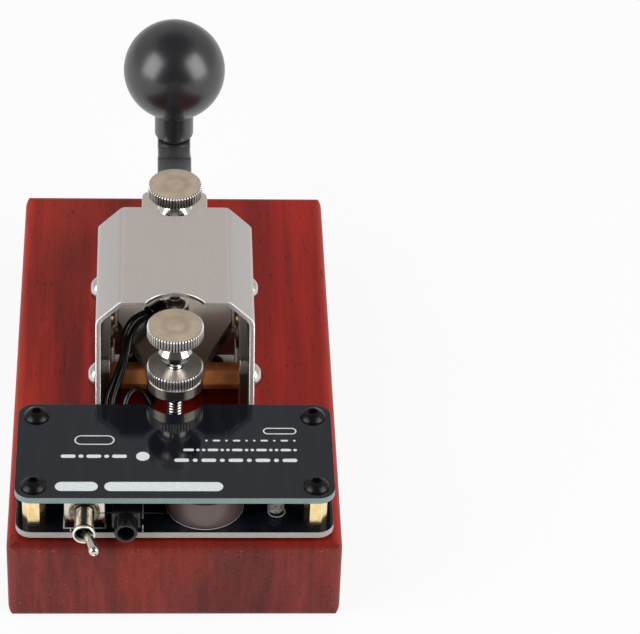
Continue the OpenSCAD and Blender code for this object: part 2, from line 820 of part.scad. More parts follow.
module front_thumb_screw() {
    seat = lever_top + front_head_up;
    color(nickel_col) translate([0, front_screw_y, seat]) thumb_screw(front_tip_z - seat);
}

module front_lock_nut() {
    color(nickel_col) translate([0, front_screw_y, lever_top]) lock_nut();
}

module rear_thumb_screw() {
    seat = lever_top + rear_head_up;
    color(nickel_col) translate([0, rear_screw_y, seat]) thumb_screw(rear_tip_z - seat);
}

module rear_lock_nut() {
    color(nickel_col) translate([0, rear_screw_y, lever_top]) lock_nut();
}

// Ball on a short neck, turned in one piece, with a blind hole for its screw
module ball_knob() {
    ball_r = ball_d / 2;
    ease = 1;
    tap_room = 1.5;
    tap_l = knob_screw_l - lever_t + tap_room;
    color(black_col) translate([0, knob_y, arm_z + lever_t]) difference() {
        union() {
            translate([0, 0, ball_up]) sphere(ball_r);
            translate([0, 0, ease]) cylinder(d = neck_d, h = ball_up - ease);
            cylinder(d1 = neck_d - 2 * ease, d2 = neck_d, h = ease);
        }
        translate([0, 0, -1]) cylinder(d = thread_d + 2 * screw_gap, h = tap_l + 1);
    }
}

module knob_screw() {
    color(steel_col) translate([0, knob_y, arm_z]) rotate([180, 0, 0])
        button_screw(thread_d, knob_screw_l, knob_head_d, knob_head_h, large_socket);
}

// Rise of the spring's line at a share of its length; the first and last turns close up so that
// it stands square
function spring_rise(t) =
    let (turn = 1 / spring_turns, s = (t - turn) / (1 - 2 * turn))
    t < turn ? t / turn * spring_end_rise
    : t > 1 - turn ? spring_span - (1 - t) / turn * spring_end_rise
    : spring_end_rise + s * (spring_span - 2 * spring_end_rise);

// One unbroken helix
spring_points = [for (i = [0 : spring_steps])
    let (t = i / spring_steps, a = 360 * i / spring_rings)
    [spring_mean_r * cos(a), spring_mean_r * sin(a), spring_rise(t)]];
spring_self_gap = min([for (i = [0 : spring_steps - spring_rings])
    norm(spring_points[i + spring_rings] - spring_points[i])]) - spring_wire;
echo(spring_self_gap = spring_self_gap);

module return_spring() {
    color(steel_col) translate([0, front_screw_y, spring_low + spring_wire / 2])
        tube_along(spring_points, spring_wire / 2, spring_sides);
}

// Boards and what stands on them

module board_plate(z) {
    translate([0, board_y, z]) linear_extrude(board_t) rounded_rect(board_w, board_d, board_corner_r);
}

module board_screw_holes(z) {
    at_board_screws() translate([0, 0, z - 1]) cylinder(d = screw_d + 2 * hole_gap, h = board_t + 2);
}

// Lower board, slotted at its front edge for the rear feet of the cover
module lower_board() {
    slot_w = cover_t + 2 * foot_slot_gap;
    slot_l = cover_rear_y + cover_rear_foot - board_front_y + foot_slot_gap;
    color(board_col) difference() {
        board_plate(lower_z);
        board_screw_holes(lower_z);
        if (slot_l > 0)
            for (s = [-1, 1])
                translate([s * (cover_w - cover_t) / 2 - slot_w / 2, board_front_y - 1, lower_z - 1])
                    cube([slot_w, slot_l + 1, board_t + 2]);
    }
}

// Upper board, notched at its front edge for the rear thumb screw
module upper_board() {
    color(board_col) difference() {
        board_plate(upper_z);
        board_screw_holes(upper_z);
        translate([0, board_front_y + board_notch_depth - board_notch_r, upper_z - 1])
            cylinder(r = board_notch_r, h = board_t + 2);
    }
}

module board_washers() {
    washer_d = 6;
    color(white_col) at_board_screws() translate([0, 0, base_top]) difference() {
        cylinder(d = washer_d, h = washer_h);
        translate([0, 0, -1]) cylinder(d = screw_d + 2 * hole_gap, h = washer_h + 2);
    }
}

module board_pillars() {
    color(brass_col) at_board_screws() translate([0, 0, lower_top]) difference() {
        cylinder(d = pillar_af / cos(30), h = pillar_h, $fn = 6);
        translate([0, 0, -1]) cylinder(d = screw_d + 2 * screw_gap, h = pillar_h + 2);
    }
}

module board_screws() {
    color(black_col) at_board_screws() translate([0, 0, upper_top])
        button_screw(screw_d, board_screw_l, screw_head_d, screw_head_h, small_socket);
}

// Bolts from under the base up into the pillars
module base_bolts() {
    color(steel_col) at_board_screws() translate([0, 0, base_bolt_seat]) {
        difference() {
            translate([0, 0, -base_bolt_head_h]) cylinder(d = base_bolt_head, h = base_bolt_head_h);
            translate([0, 0, -base_bolt_head_h - 1])
                cylinder(d = base_bolt_socket / cos(30), h = base_bolt_head_h / 2 + 1.2, $fn = 6);
        }
        cylinder(d = screw_d, h = base_bolt_l);
    }
}

// Round sounder with a stepped lid and a sound hole
module sounder() {
    step = 0.5;
    hole_d = 2.4;
    hole_l = 1.5;
    color(black_col) translate([sounder_x, sounder_y, lower_top]) difference() {
        union() {
            cylinder(d = sounder_d, h = sounder_h - step);
            cylinder(d = sounder_d - 2 * step, h = sounder_h);
        }
        translate([0, 0, sounder_h - hole_l]) cylinder(d = hole_d, h = hole_l + 1);
    }
}

// Clear lamp: flange, barrel and domed end
module lamp() {
    r = lamp_d / 2;
    flange_rim = 0.4;
    flange_t = 1;
    color(lamp_col) translate([lamp_x, lamp_y, lower_top]) {
        cylinder(r = r + flange_rim, h = flange_t);
        cylinder(r = r, h = lamp_h - r);
        translate([0, 0, lamp_h - r]) sphere(r);
    }
}

// Small resistor on the board beside the lamp
module lamp_resistor() {
    chip_l = 2;
    chip_w = 1.25;
    chip_h = 0.5;
    beside_lamp = 4.4;
    color(black_col) translate([lamp_x + beside_lamp, lamp_y, lower_top + chip_h / 2])
        cube([chip_l, chip_w, chip_h], center = true);
}

// Phone socket: block housing with a round nose and a blind hole for the plug
module socket_housing() {
    end_wall = 2;
    corner_r = 0.5;
    hole_l = nose_l + socket_l - end_wall;
    color(black_col) translate([socket_x, socket_rear_y, socket_z]) difference() {
        union() {
            translate([0, -socket_l / 2, 0]) along_y(socket_l) rounded_rect(socket_w, socket_h, corner_r);
            rotate([-90, 0, 0]) cylinder(d = nose_d, h = nose_l);
        }
        translate([0, nose_l + 1, 0]) rotate([90, 0, 0]) cylinder(d = plug_hole_d, h = hole_l + 1);
    }
}

// Solder tags that stand beside the socket housing on the board
module socket_contacts() {
    tag_w = 0.8;
    tag_l = 2;
    tag_t = 0.3;
    front_row = 2.4;
    rear_row = 9.6;
    color(nickel_col) for (s = [-1, 1], back = [front_row, rear_row])
        translate([socket_x + s * (socket_w + tag_w) / 2, socket_rear_y - back, lower_top + tag_t / 2])
            cube([tag_w, tag_l, tag_t], center = true);
}

// Case of the toggle switch
module switch_housing() {
    body_h = switch_body_h - frame_t;
    body_y = switch_rear_y - frame_t - switch_body_l / 2;
    color(red_col) translate([switch_x, body_y, lower_top + body_h / 2])
        cube([switch_w - 2 * frame_t, switch_body_l, body_h], center = true);
}

// Sheet metal frame: a plate across the front of the case with two side arms down to the board
module switch_frame() {
    plate_h = switch_body_h - frame_up;
    foot_r = 1.2;
    color(cream_col) translate([switch_x, switch_rear_y, lower_top]) {
        translate([0, -frame_t / 2, 0]) difference() {
            along_y(frame_t) {
                translate([0, frame_up + plate_h / 2]) rounded_rect(switch_w, plate_h, foot_r);
                translate([-switch_w / 2, frame_up + foot_r]) square([switch_w, plate_h - foot_r]);
            }
            translate([0, 1, switch_z - lower_top]) rotate([90, 0, 0]) cylinder(d = bushing_d, h = 2);
        }
        for (s = [-1, 1])
            translate([s * (switch_w - frame_t) / 2 - frame_t / 2, -frame_arm_l, 0])
                cube([frame_t, frame_arm_l - frame_t / 2, switch_body_h]);
    }
}

// Threaded neck with a flange on the frame, a lip at its mouth and room for the ball of the lever
module switch_bushing() {
    flange_d = 6.4;
    flange_t = 0.7;
    bore_d = 3;
    throat_d = 2.4;
    mouth_d = 4.3;
    ball_room = 1.6;
    pivot_up = switch_y - switch_rear_y;
    color(nickel_col) translate([switch_x, switch_rear_y, switch_z]) rotate([-90, 0, 0]) difference() {
        union() {
            translate([0, 0, -frame_t]) cylinder(d = bushing_d, h = bushing_l + frame_t);
            cylinder(d = flange_d, h = flange_t);
            translate([0, 0, bushing_l - lip_l]) cylinder(d = lip_d, h = lip_l);
        }
        translate([0, 0, -1]) cylinder(d = bore_d, h = bushing_l + 2);
        translate([0, 0, pivot_up]) cylinder(d1 = throat_d, d2 = mouth_d, h = bushing_l - pivot_up + eps);
        translate([0, 0, pivot_up]) sphere(ball_room);
    }
}

// Tapered bat with a round tip, leaning to -X at rest, on a small ball with an upright pin
module switch_lever() {
    root_r = 0.8;
    tip_r = 1.2;
    ball_r = 1.4;
    pin_d = 0.6;
    pin_l = 3;
    color(nickel_col) translate([switch_x, switch_y, switch_z]) {
        cylinder(d = pin_d, h = pin_l, center = true);
        rotate([0, 0, switch_throw / 2]) rotate([-90, 0, 0]) {
            sphere(ball_r);
            cylinder(r1 = root_r, r2 = tip_r, h = bat_l - tip_r);
            translate([0, 0, bat_l - tip_r]) sphere(tip_r);
        }
    }
}

// Open ring that holds the button cell on the lower board
module cell_holder() {
    room_d = cell_d + cell_room;
    gap_w = 6;
    gap_floor = holder_floor + 1;
    color(black_col) translate([cell_x, cell_y, lower_top]) difference() {
        cylinder(d = room_d + 2 * holder_wall, h = cell_h + holder_floor);
        translate([0, 0, holder_floor]) cylinder(d = room_d, h = cell_h + 1);
        translate([-gap_w / 2, -cell_d, gap_floor]) cube([gap_w, cell_d, cell_h]);
    }
}

// Coin cell, its negative side down and a little smaller
module button_cell() {
    rim_t = 0.3;
    rim_step = 0.8;
    color(steel_col) translate([cell_x, cell_y, lower_top + holder_floor]) {
        cylinder(d = cell_d - 2 * rim_step, h = rim_t);
        translate([0, 0, rim_t]) cylinder(d = cell_d, h = cell_h - rim_t);
    }
}

module lever_wires() {
    color(black_col) translate([0, 0, base_top])
        for (route = [lever_wire_a, lever_wire_b]) tube_along(route, wire_d / 2, wire_sides);
}

module contact_wire() {
    color(black_col) translate([0, 0, base_top]) tube_along(contact_wire_path, wire_d / 2, wire_sides);
}

wood_base();
bracket();
bracket_screws();
cover();
side_screws();
front_cross_bar();
rear_cross_bar();
pivot_bushes();
lever();
pivot_block();
pivot_axle();
lug_screw();
wire_lug();
lug_sleeve();
contact_screw();
contact_nut();
anvil();
front_thumb_screw();
front_lock_nut();
rear_thumb_screw();
rear_lock_nut();
rear_stop();
return_spring();
spring_cup();
ball_knob();
knob_screw();
lower_board();
upper_board();
board_washers();
board_pillars();
board_screws();
base_bolts();
sounder();
lamp();
lamp_resistor();
socket_housing();
socket_contacts();
switch_housing();
switch_frame();
switch_bushing();
switch_lever();
cell_holder();
button_cell();
lever_wires();
contact_wire();
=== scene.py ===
# %% [markdown]
# # A straight telegraph practice key
#
# The key is a steel lever with a ball knob. It rocks on a thin axle under an arched metal cover, on a
# red-stained wooden base. Two small circuit boards behind it hold a sounder, a lamp, a phone socket and a
# toggle switch. The construction model is loaded first, as a fixed frame, and every piece made here sits
# in it, in metres, with +Z up and the ball knob towards -Y. What is left is how the key looks: threads and
# knurls, eased edges, wires, printed marks and finishes.

# %% Load the frame
import math
from functools import partialmethod

import bmesh
import bpy
import numpy as np
from mathutils import Matrix, Vector


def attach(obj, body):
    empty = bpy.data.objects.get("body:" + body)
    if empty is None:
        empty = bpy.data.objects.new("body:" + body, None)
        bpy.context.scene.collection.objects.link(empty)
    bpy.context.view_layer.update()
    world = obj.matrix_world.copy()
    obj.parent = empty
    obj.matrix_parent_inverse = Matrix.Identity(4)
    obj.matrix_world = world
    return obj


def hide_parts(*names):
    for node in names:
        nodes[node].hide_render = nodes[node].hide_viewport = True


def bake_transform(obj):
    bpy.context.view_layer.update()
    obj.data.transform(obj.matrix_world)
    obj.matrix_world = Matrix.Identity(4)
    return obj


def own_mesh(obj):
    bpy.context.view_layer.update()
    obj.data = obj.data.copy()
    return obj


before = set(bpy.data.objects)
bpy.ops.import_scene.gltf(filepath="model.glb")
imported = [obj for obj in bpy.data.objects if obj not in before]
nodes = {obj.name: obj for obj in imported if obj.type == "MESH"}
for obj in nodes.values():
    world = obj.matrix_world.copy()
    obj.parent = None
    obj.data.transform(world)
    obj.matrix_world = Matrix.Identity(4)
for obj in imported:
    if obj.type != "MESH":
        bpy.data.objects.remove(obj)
scene = bpy.context.scene
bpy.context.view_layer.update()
mm = 0.001

# %% [markdown]
# ## The camera
#
# A product photograph is taken from far away with a long lens, so the wooden block hardly tapers. The
# camera stands behind the sounder board, 38 degrees above the horizon. The key fills the left half of the
# picture, so the camera is turned a little to the right of it. A shifted lens would do the same, but it
# would shift every other view too.

# %% The camera
picture_width = 640
sensor_width = 36.0
focal_pixels = 3226.95
camera_place = Vector((3.9, 590.8, 499.6)) * mm
azimuth, elevation, roll = (math.radians(angle) for angle in (179.615, 38.246, 0.461))
key_centre_pixel = 175
turn_aside = math.atan((picture_width / 2 - key_centre_pixel) / focal_pixels)
# Back points from the key to the camera and right is level, until the roll turns right and up.
back = Vector((math.sin(azimuth) * math.cos(elevation),
               -math.cos(azimuth) * math.cos(elevation),
               math.sin(elevation)))
level = Vector((0, 0, 1)).cross(back).normalized()
rolled = Matrix.Rotation(roll, 3, back)
up = rolled @ back.cross(level)
aside = Matrix.Rotation(-turn_aside, 3, up)
axes = Matrix((aside @ (rolled @ level), up, aside @ back)).transposed()
camera = bpy.data.objects.new("camera", bpy.data.cameras.new("camera"))
camera.data.sensor_width = sensor_width
camera.data.lens = sensor_width * focal_pixels / picture_width
camera.data.clip_start = 0.05
camera.data.clip_end = 20
camera.matrix_world = Matrix.Translation(camera_place) @ axes.to_4x4()
scene.collection.objects.link(camera)
scene.camera = camera
print("lens", round(camera.data.lens, 1), "mm, turned aside", round(math.degrees(turn_aside), 2), "degrees")

# %% [markdown]
# ## Shader maths as expressions
#
# A finish is a small program: noise, distance, a threshold, a mix. Wired by hand it turns into a web of
# Math nodes. A class that wraps a socket and overloads the operators makes it a line of arithmetic.

# %% Sockets that can be added and multiplied
class Value:
    """One output socket of a shader tree, with arithmetic that adds Math nodes."""

    def __init__(self, finish, socket):
        self.finish = finish
        self.socket = socket

    def math(self, operation, *others):
        return self.finish.add("Math", dict(enumerate((self, *others))), operation=operation)

    __add__ = __radd__ = partialmethod(math, "ADD")
    __sub__ = partialmethod(math, "SUBTRACT")
    __mul__ = partialmethod(math, "MULTIPLY")
    __pow__ = partialmethod(math, "POWER")
    least = partialmethod(math, "MINIMUM")
    most = partialmethod(math, "MAXIMUM")
    size = partialmethod(math, "ABSOLUTE")

    def __rsub__(self, other):
        return self.finish.add("Math", {0: other, 1: self}, operation="SUBTRACT")

    def between(self, low, high):
        """0 below low, 1 above high, and a smooth rise between them; low may be above high."""
        return self.finish.add("MapRange", {"Value": self, "From Min": low, "From Max": high},
                               interpolation_type="SMOOTHSTEP")


class Tree:
    """A shader tree with one way to add a node of any kind."""

    def __init__(self, tree):
        self.tree = tree

    def set(self, node, sockets):
        for key, value in sockets.items():
            target = node.inputs[key]
            if isinstance(value, Value):
                self.tree.links.new(value.socket, target)
            elif target.type == "RGBA":
                target.default_value = (*value, 1)
            else:
                target.default_value = value

    def add(self, kind, sockets=None, out=0, **settings):
        """Adds a shader node of this kind and returns one of its outputs."""
        node = self.tree.nodes.new("ShaderNode" + kind)
        for key, value in settings.items():
            setattr(node, key, value)
        self.set(node, sockets or {})
        return Value(self, node.outputs[out])

    def parts(self, vector):
        """The x, y and z of a vector as three Values."""
        node = self.tree.nodes.new("ShaderNodeSeparateXYZ")
        self.set(node, {0: vector})
        return [Value(self, socket) for socket in node.outputs]

    def rays(self, *kinds):
        """1 for rays of any of these kinds, such as Camera or Glossy, and 0 for the others."""
        path = self.tree.nodes.new("ShaderNodeLightPath")
        first, *others = (Value(self, path.outputs[f"Is {kind} Ray"]) for kind in kinds)
        return sum(others, first).least(1)


class Finish(Tree):
    """A material with one Principled shader, whose sockets take numbers, colours or Values. The
    slot, the record's material slot for the pieces that have it, is kept but not used."""

    def __init__(self, name, slot=None):
        self.slot = slot
        self.material = bpy.data.materials.new(name)
        self.material.use_nodes = True
        super().__init__(self.material.node_tree)
        self.shader = self.tree.nodes["Principled BSDF"]

    def paint(self, **sockets):
        """Feeds the named sockets of the shader; underscores stand for spaces."""
        self.set(self.shader, {key.replace("_", " "): value for key, value in sockets.items()})
        return self

    def place(self, stretch=(1, 1, 1), shift=(0, 0, 0)):
        """Position on the object in millimetres, shifted and then stretched along each axis."""
        place = self.add("TexCoord", out=3)
        steps = (("SCALE", {"Scale": 1 / mm}), ("ADD", {1: shift}), ("MULTIPLY", {1: stretch}))
        for operation, sockets in steps:
            place = self.add("VectorMath", {0: place, **sockets}, operation=operation)
        return place

    def noise(self, scale, detail=2.0, roughness=0.5, distortion=0.0, at=None, **where):
        """Noise at a position: the given one, or that on the object, shifted and stretched."""
        return self.add("TexNoise", {"Vector": at or self.place(**where), "Scale": scale, "Detail": detail,
                                     "Roughness": roughness, "Distortion": distortion})

    def mix(self, factor, first, second):
        """Colour mix: the first colour where factor is 0, the second where it is 1."""
        return self.add("Mix", {0: factor, 6: first, 7: second}, out=2, data_type="RGBA")

    def layers(self, colour, *layers):
        """Colours laid over a first one, each as a pair: how much of it shows, and the colour."""
        for share, layer in layers:
            colour = self.mix(share, colour, layer)
        return colour

    def relief(self, height, depth_mm):
        """A bump whose height of 1 stands for this many millimetres."""
        return self.add("Bump", {"Height": height, "Distance": depth_mm * mm, "Strength": 1.0})


def tone(red, green, blue):
    """A colour given as it looks on a screen, 0 to 255, turned into linear light."""
    return tuple((v / 255 / 12.92) if v < 11 else ((v / 255 + 0.055) / 1.055) ** 2.4
                 for v in (red, green, blue))


print("colour check, mid grey in linear light:", round(tone(128, 128, 128)[0], 3))

# %% [markdown]
# ## The table and the light
#
# Polished metal shows its surroundings more than itself. The photograph was taken on a white table with a
# tall soft box at each side and a dimmer room above, so the ball has two soft streaks and the flat tops
# look grey. The white that the camera sees comes from the materials of the table and the sky, not from more
# light on the key.

# %% The table
def stage_disc(radius, height, sides=96):
    """A flat disc: points on a circle, at radius times the cosine and sine of equal turns."""
    turn = np.linspace(0, 2 * np.pi, sides, endpoint=False)
    ring = np.stack((radius * np.cos(turn), radius * np.sin(turn), np.full(sides, height)), 1)
    mesh = bpy.data.meshes.new("table")
    mesh.from_pydata(ring.tolist(), [], [list(range(sides))])
    return bpy.data.objects.new("table", mesh)


white = (1.0, 1.0, 1.0)
glow_share = 0.9
matte = Finish("table_white")
matte.paint(Base_Color=(0.86, 0.86, 0.86), Roughness=0.7)
white_glow = matte.add("Emission", {"Color": white, "Strength": 1.0})
lit = Value(matte, matte.shader.outputs[0])
whiteness = matte.rays("Camera", "Glossy", "Transmission") * glow_share
table_look = matte.add("MixShader", {0: whiteness, 1: lit, 2: white_glow})
matte.set(matte.tree.nodes["Material Output"], {0: table_look})
table = stage_disc(radius=2.5, height=-0.2 * mm)
table.data.materials.append(matte.material)
scene.collection.objects.link(table)
print("a white table")

# %% The sky
world = bpy.data.worlds.new("studio")
scene.world = world
world.use_nodes = True
sky = Tree(world.node_tree)
far_sky, near_sky, high_sky = 0.62, 0.08, 0.08
far_light, near_light = 0.5, 0.04
towards_camera, upwards = sky.parts(sky.add("TexCoord"))[1:]
far = 1 - towards_camera.between(-0.1, 0.35)
high = upwards.between(0.66, 0.9)
mirrored = near_sky + far * (far_sky - near_sky) * (1 - high) + high * high_sky
falling = far * far_light + near_light
to_eye = sky.rays("Camera")
to_mirror = sky.rays("Glossy", "Transmission")
sky.set(world.node_tree.nodes["Background"],
        {"Color": white,
         "Strength": to_eye + to_mirror * mirrored + (1 - to_eye - to_mirror).most(0) * falling})
print("metal mirrors a sky from", near_sky, "to", far_sky)

# %% The soft boxes
box_distance, box_width, box_height, radiance = 1.1, 0.72, 0.95, 4.6
for side, name in ((1, "box_left"), (-1, "box_right")):
    lamp = bpy.data.lights.new(name, "AREA")
    lamp.shape = "RECTANGLE"
    lamp.size = box_width
    lamp.size_y = box_height
    lamp.energy = radiance * box_width * box_height * math.pi
    box = bpy.data.objects.new(name, lamp)
    away = Vector((side * 0.84, 0.40, 0.5)).normalized()
    turn = away.to_track_quat("Z", "Y").to_matrix().to_4x4()
    box.matrix_world = Matrix.Translation(away * box_distance) @ turn
    scene.collection.objects.link(box)
scene.view_settings.view_transform = "Standard"
print("two soft boxes")

# %% [markdown]
# ## Red-stained wood
#
# The block is a hard, open-pored wood with a red stain. Its grain runs the long way, so pores are dashes on
# the top and dots on the sawn ends. A texture worked out in space, and stretched along the grain, gets this
# right on every face; a flat picture would need a seam at each edge.

# %% Wood
wood = Finish("stained_wood")
along_grain = (1, 0.045, 0.14)
wander = wood.noise(scale=0.05, stretch=(1, 0.3, 0.5))
bands = wood.noise(scale=0.13, detail=3, roughness=0.6, distortion=0.6, stretch=along_grain)
streaks = wood.noise(scale=0.75, detail=4, roughness=0.65, stretch=along_grain)
fine = wood.noise(scale=3.2, roughness=0.6, stretch=(1, 0.045, 0.4))
pores = wood.noise(scale=1.3, detail=1, stretch=(1, 0.22, 1), shift=(40, 10, 5)).between(0.65, 0.74)
flecks = wood.noise(scale=2.1, shift=(7, 3, 90)).between(0.66, 0.72)
end_face = wood.parts(wood.add("NewGeometry", out=1))[1].size().between(0.55, 0.9)
across, along = wood.parts(wood.place())[:2]
# Painted shade: the top darkens from under the boards' near edge to the near end of the block, standing in
# for the boards' shadow.
painted_board_shade = along.between(61, 66)
redder_side = across.between(8, -30)
red = wood.layers(
    wood.mix(bands.between(0.35, 0.68), tone(160, 31, 20), tone(114, 23, 17)),
    (streaks.between(0.45, 0.75) * 0.6, tone(74, 16, 14)),
    (wander.between(0.5, 0.75) * 0.5, tone(178, 50, 28)),
    (redder_side * 0.28, tone(192, 34, 19)), (painted_board_shade * 0.76, tone(64, 18, 16)))
dull = wood.layers(
    wood.mix(bands.between(0.3, 0.7), tone(134, 52, 45), tone(88, 37, 35)),
    (wander.between(0.5, 0.7) * 0.6, tone(140, 44, 30)),
    (streaks.between(0.42, 0.7) * 0.35, tone(70, 26, 25)))
surface = wood.layers(
    wood.mix(end_face, red, dull), (pores * (0.58 - end_face * 0.15), tone(48, 12, 11)),
    (flecks * end_face * 0.6, tone(196, 108, 90)))
wood.paint(Base_Color=surface, Roughness=0.36 + fine * 0.2 + end_face * 0.1, Specular_IOR_Level=0.22,
           Normal=wood.relief(fine * 0.25 - pores * 0.5, 0.1))
print("wood:", len(wood.tree.nodes), "shader nodes")

# %% [markdown]
# ## Metals
#
# Blasted aluminium, polished steel, nickel plate and brass differ in colour less than in what their surface
# does: fine dents, long hairlines, turned rings, or hardly anything. So each has its own relief and spread
# of roughness, and edges polished by handling have a brighter finish.

# %% Simple finishes
def patchy(name, slot, colour, roughness, spread, scale, detail=2, second=None, between=(0.35, 0.7),
           stretch=(1, 1, 1), **constants):
    """A finish whose roughness rises by the spread in soft patches, noise of this scale and detail.
    With a second colour, the patches between these two levels of the noise pass over to it."""
    finish = Finish(name, slot)
    patches = finish.noise(scale, detail, stretch=stretch)
    look = finish.mix(patches.between(*between), tone(*colour), tone(*second)) if second else tone(*colour)
    return finish.paint(Base_Color=look, Roughness=roughness + patches * spread, **constants)


bent_plate = patchy(
    "bent_plate", "satin_aluminium", (206, 199, 193), 0.24, 0.16, 1.5, 3, stretch=(1, 0.1, 1), Metallic=1.0)
steel_edge = patchy("steel_edge", None, (226, 222, 217), 0.16, 0.14, 2.0, 3, Metallic=1.0)
polished_screw = patchy("polished_screw", "stainless", (206, 203, 198), 0.14, 0.14, 1.6, 3, Metallic=1.0)
frame_metal = patchy("frame_metal", "nickel", (228, 222, 208), 0.26, 0.16, 0.8, 3, Metallic=1.0)
brass_edge = patchy("brass_edge", None, (253, 236, 190), 0.16, 0.12, 2.0, Metallic=1.0)
spring_wire = patchy("spring_wire", "spring_steel", (190, 188, 184), 0.2, 0.12, 3.0, Metallic=1.0)
lead_frame = patchy("lead_frame", "nickel", (246, 246, 242), 0.3, 0.2, 3.0, Metallic=0.6)
# Brass of the cross bars, painted orange-red and darker: a painted reflection of the red wood below them
# and the dim inside.
wood_reflection_brass = patchy(
    "brass_painted_red_reflection", "brass", (236, 152, 92), 0.4, 0.2, 0.35, 3, second=(214, 128, 74), Metallic=0.35,
    Specular_IOR_Level=0.3)
black_oxide = patchy(
    "black_oxide", "black_steel", (24, 24, 26), 0.22, 0.1, 4.0, second=(40, 39, 40), between=(0.4, 0.8),
    Metallic=0.7)
print(len(bpy.data.materials), "materials so far")


# %% Blasted aluminium
def blasted_sheet(name, inside_shade_tone=None):
    """Blasted metal with fine dents. With an inside shade tone, sloped faces are painted greyer as
    shade, and faces whose normal points towards the cover's middle line get that tone as painted shade."""
    finish = Finish(name, "satin_aluminium")
    dents = finish.noise(scale=5.5, detail=3, roughness=0.7)
    smudge = finish.noise(scale=0.09, detail=3)
    colour = finish.mix(dents.between(0.3, 0.7), tone(220, 210, 205), tone(236, 227, 221))
    if inside_shade_tone:
        # Painted shade: sloped faces are painted greyer, and faces turned inwards take the inside shade
        # tone.
        away = finish.place(stretch=(1, 0, 1), shift=(0, 0, -cover_middle_z))
        normal = finish.add("NewGeometry", out=1)
        outward = finish.add("VectorMath", {0: away, 1: normal}, 1, operation="DOT_PRODUCT")
        slope_shade = finish.parts(normal)[0].size().between(0.2, 0.6)
        colour = finish.layers(colour, (slope_shade * 0.6, tone(180, 180, 181)),
                               (outward.between(-0.5, -1.5), inside_shade_tone))
    finish.paint(Base_Color=colour, Metallic=1.0, Roughness=0.4 + smudge * 0.1,
                 Normal=finish.relief(dents, 0.02))
    return finish


cover_middle_z = 30
blasted = blasted_sheet("blasted_aluminium")
cover_sheet = blasted_sheet("cover_sheet", inside_shade_tone=tone(122, 112, 106))
bright_edge = Finish("bright_edge")
nicks = bright_edge.noise(scale=2.0, detail=3)
bright_edge.paint(Base_Color=tone(253, 252, 250), Metallic=1.0, Roughness=0.34 + nicks * 0.2,
                  Normal=bright_edge.relief(nicks, 0.05))
print("cover:", len(cover_sheet.tree.nodes), "shader nodes")

# %% Polished steel
steel = Finish("polished_steel", "stainless")
hairlines = steel.noise(scale=7.0, detail=3, roughness=0.7, stretch=(1, 0.01, 1))
cloud = steel.noise(scale=0.12, detail=3)
bow_start_y = -46
bow = steel.parts(steel.place(shift=(0, -bow_start_y, 0)))[1].least(0) * 0.09
steel_tone = steel.mix(bow.between(0, -0.5), tone(220, 208, 195), tone(226, 224, 227))
steel.paint(Base_Color=steel_tone, Metallic=1.0, Roughness=0.16 + hairlines * 0.1 + cloud * 0.06,
            Normal=steel.relief(hairlines * 0.004 + bow, 1.0))
print("steel:", len(steel.tree.nodes), "shader nodes")


# %% Nickel plate with painted shade in its grooves and a worn top
def grooved(finish):
    """How deep in a groove a point is, 0 to 1, which the pieces carry as an attribute."""
    return finish.add("Attribute", out=2, attribute_name="groove")


def turned_nickel(name, axis_y, top):
    """Bright nickel with painted shade in dark grooves, and a worn brownish face at the given height.
    The relief of the face depends only on the distance from the axis, as a lathe leaves it."""
    finish = Finish(name, "nickel")
    x, y, z = finish.parts(finish.place(shift=(0, -axis_y, -top)))
    face = z.between(-0.14, -0.1) * (1 - grooved(finish).between(0, 0.1))
    radius = (x * x + y * y) ** 0.5
    lathe_place = finish.add("CombineXYZ", {0: radius})
    rings = finish.noise(scale=6.0, detail=3, roughness=0.7, at=lathe_place)
    stain = finish.noise(scale=0.32, detail=4)
    inner_ring = radius.between(1.6, 2.4) * radius.between(3.9, 3.0)
    # Painted highlight: the knurl's top chamfer is painted near white, besides being rougher.
    bevel = radius.between(5.8, 6.0) * z.between(-0.4, -0.3)
    rim = radius.between(5.5, 5.8)
    worn = finish.layers(tone(226, 206, 184), (stain.between(0.35, 0.7), tone(212, 191, 168)),
                         (inner_ring * 0.25, tone(170, 150, 128)))
    # Painted shade: grooves of knurls and threads are darkened by their depth, where shade falls in them.
    colour = finish.layers(tone(222, 218, 212), (bevel, tone(250, 249, 246)),
                           (grooved(finish).between(0.18, 0.7), tone(34, 30, 27)))
    finish.paint(Base_Color=finish.mix(face, colour, worn), Metallic=1.0,
                 Roughness=0.07 + face * 0.2 + bevel * 0.15 + rim * 0.22 + rings * 0.06 + stain * 0.05,
                 Normal=finish.relief(rings * face, 0.01))
    return finish


front_y, front_top = -23.1, 55.4
rear_y, rear_top = 26.7, 52.6
front_nickel = turned_nickel("nickel_front", front_y, front_top)
rear_nickel = turned_nickel("nickel_rear", rear_y, rear_top)
# Both nuts share one finish. Its axis is midway between them and its top above them, so all of a nut
# counts as rim and is satin.
nut_nickel = turned_nickel("nickel_nuts", (front_y + rear_y) / 2, top=60.0)
nickel = Finish("nickel_plate", "nickel")
# Painted shade: grooves are darkened by their depth, where shade falls in them.
nickel_tone = nickel.mix(grooved(nickel).between(0.2, 0.8), tone(214, 207, 196), tone(60, 54, 48))
haze = nickel.noise(scale=1.2, detail=3)
nickel.paint(Base_Color=nickel_tone, Metallic=1.0, Roughness=0.14 + haze * 0.1)
print("thumb screws:", len(front_nickel.tree.nodes), "shader nodes")

# %% Worn plate of the toggle switch, with painted shade
shaded_worn_nickel = Finish("shaded_worn_nickel", "nickel")
wear = shaded_worn_nickel.noise(scale=0.7, detail=3, stretch=(1, 0.4, 1))
lit_outer_end = shaded_worn_nickel.parts(shaded_worn_nickel.place())[1].between(67.5, 67.8)
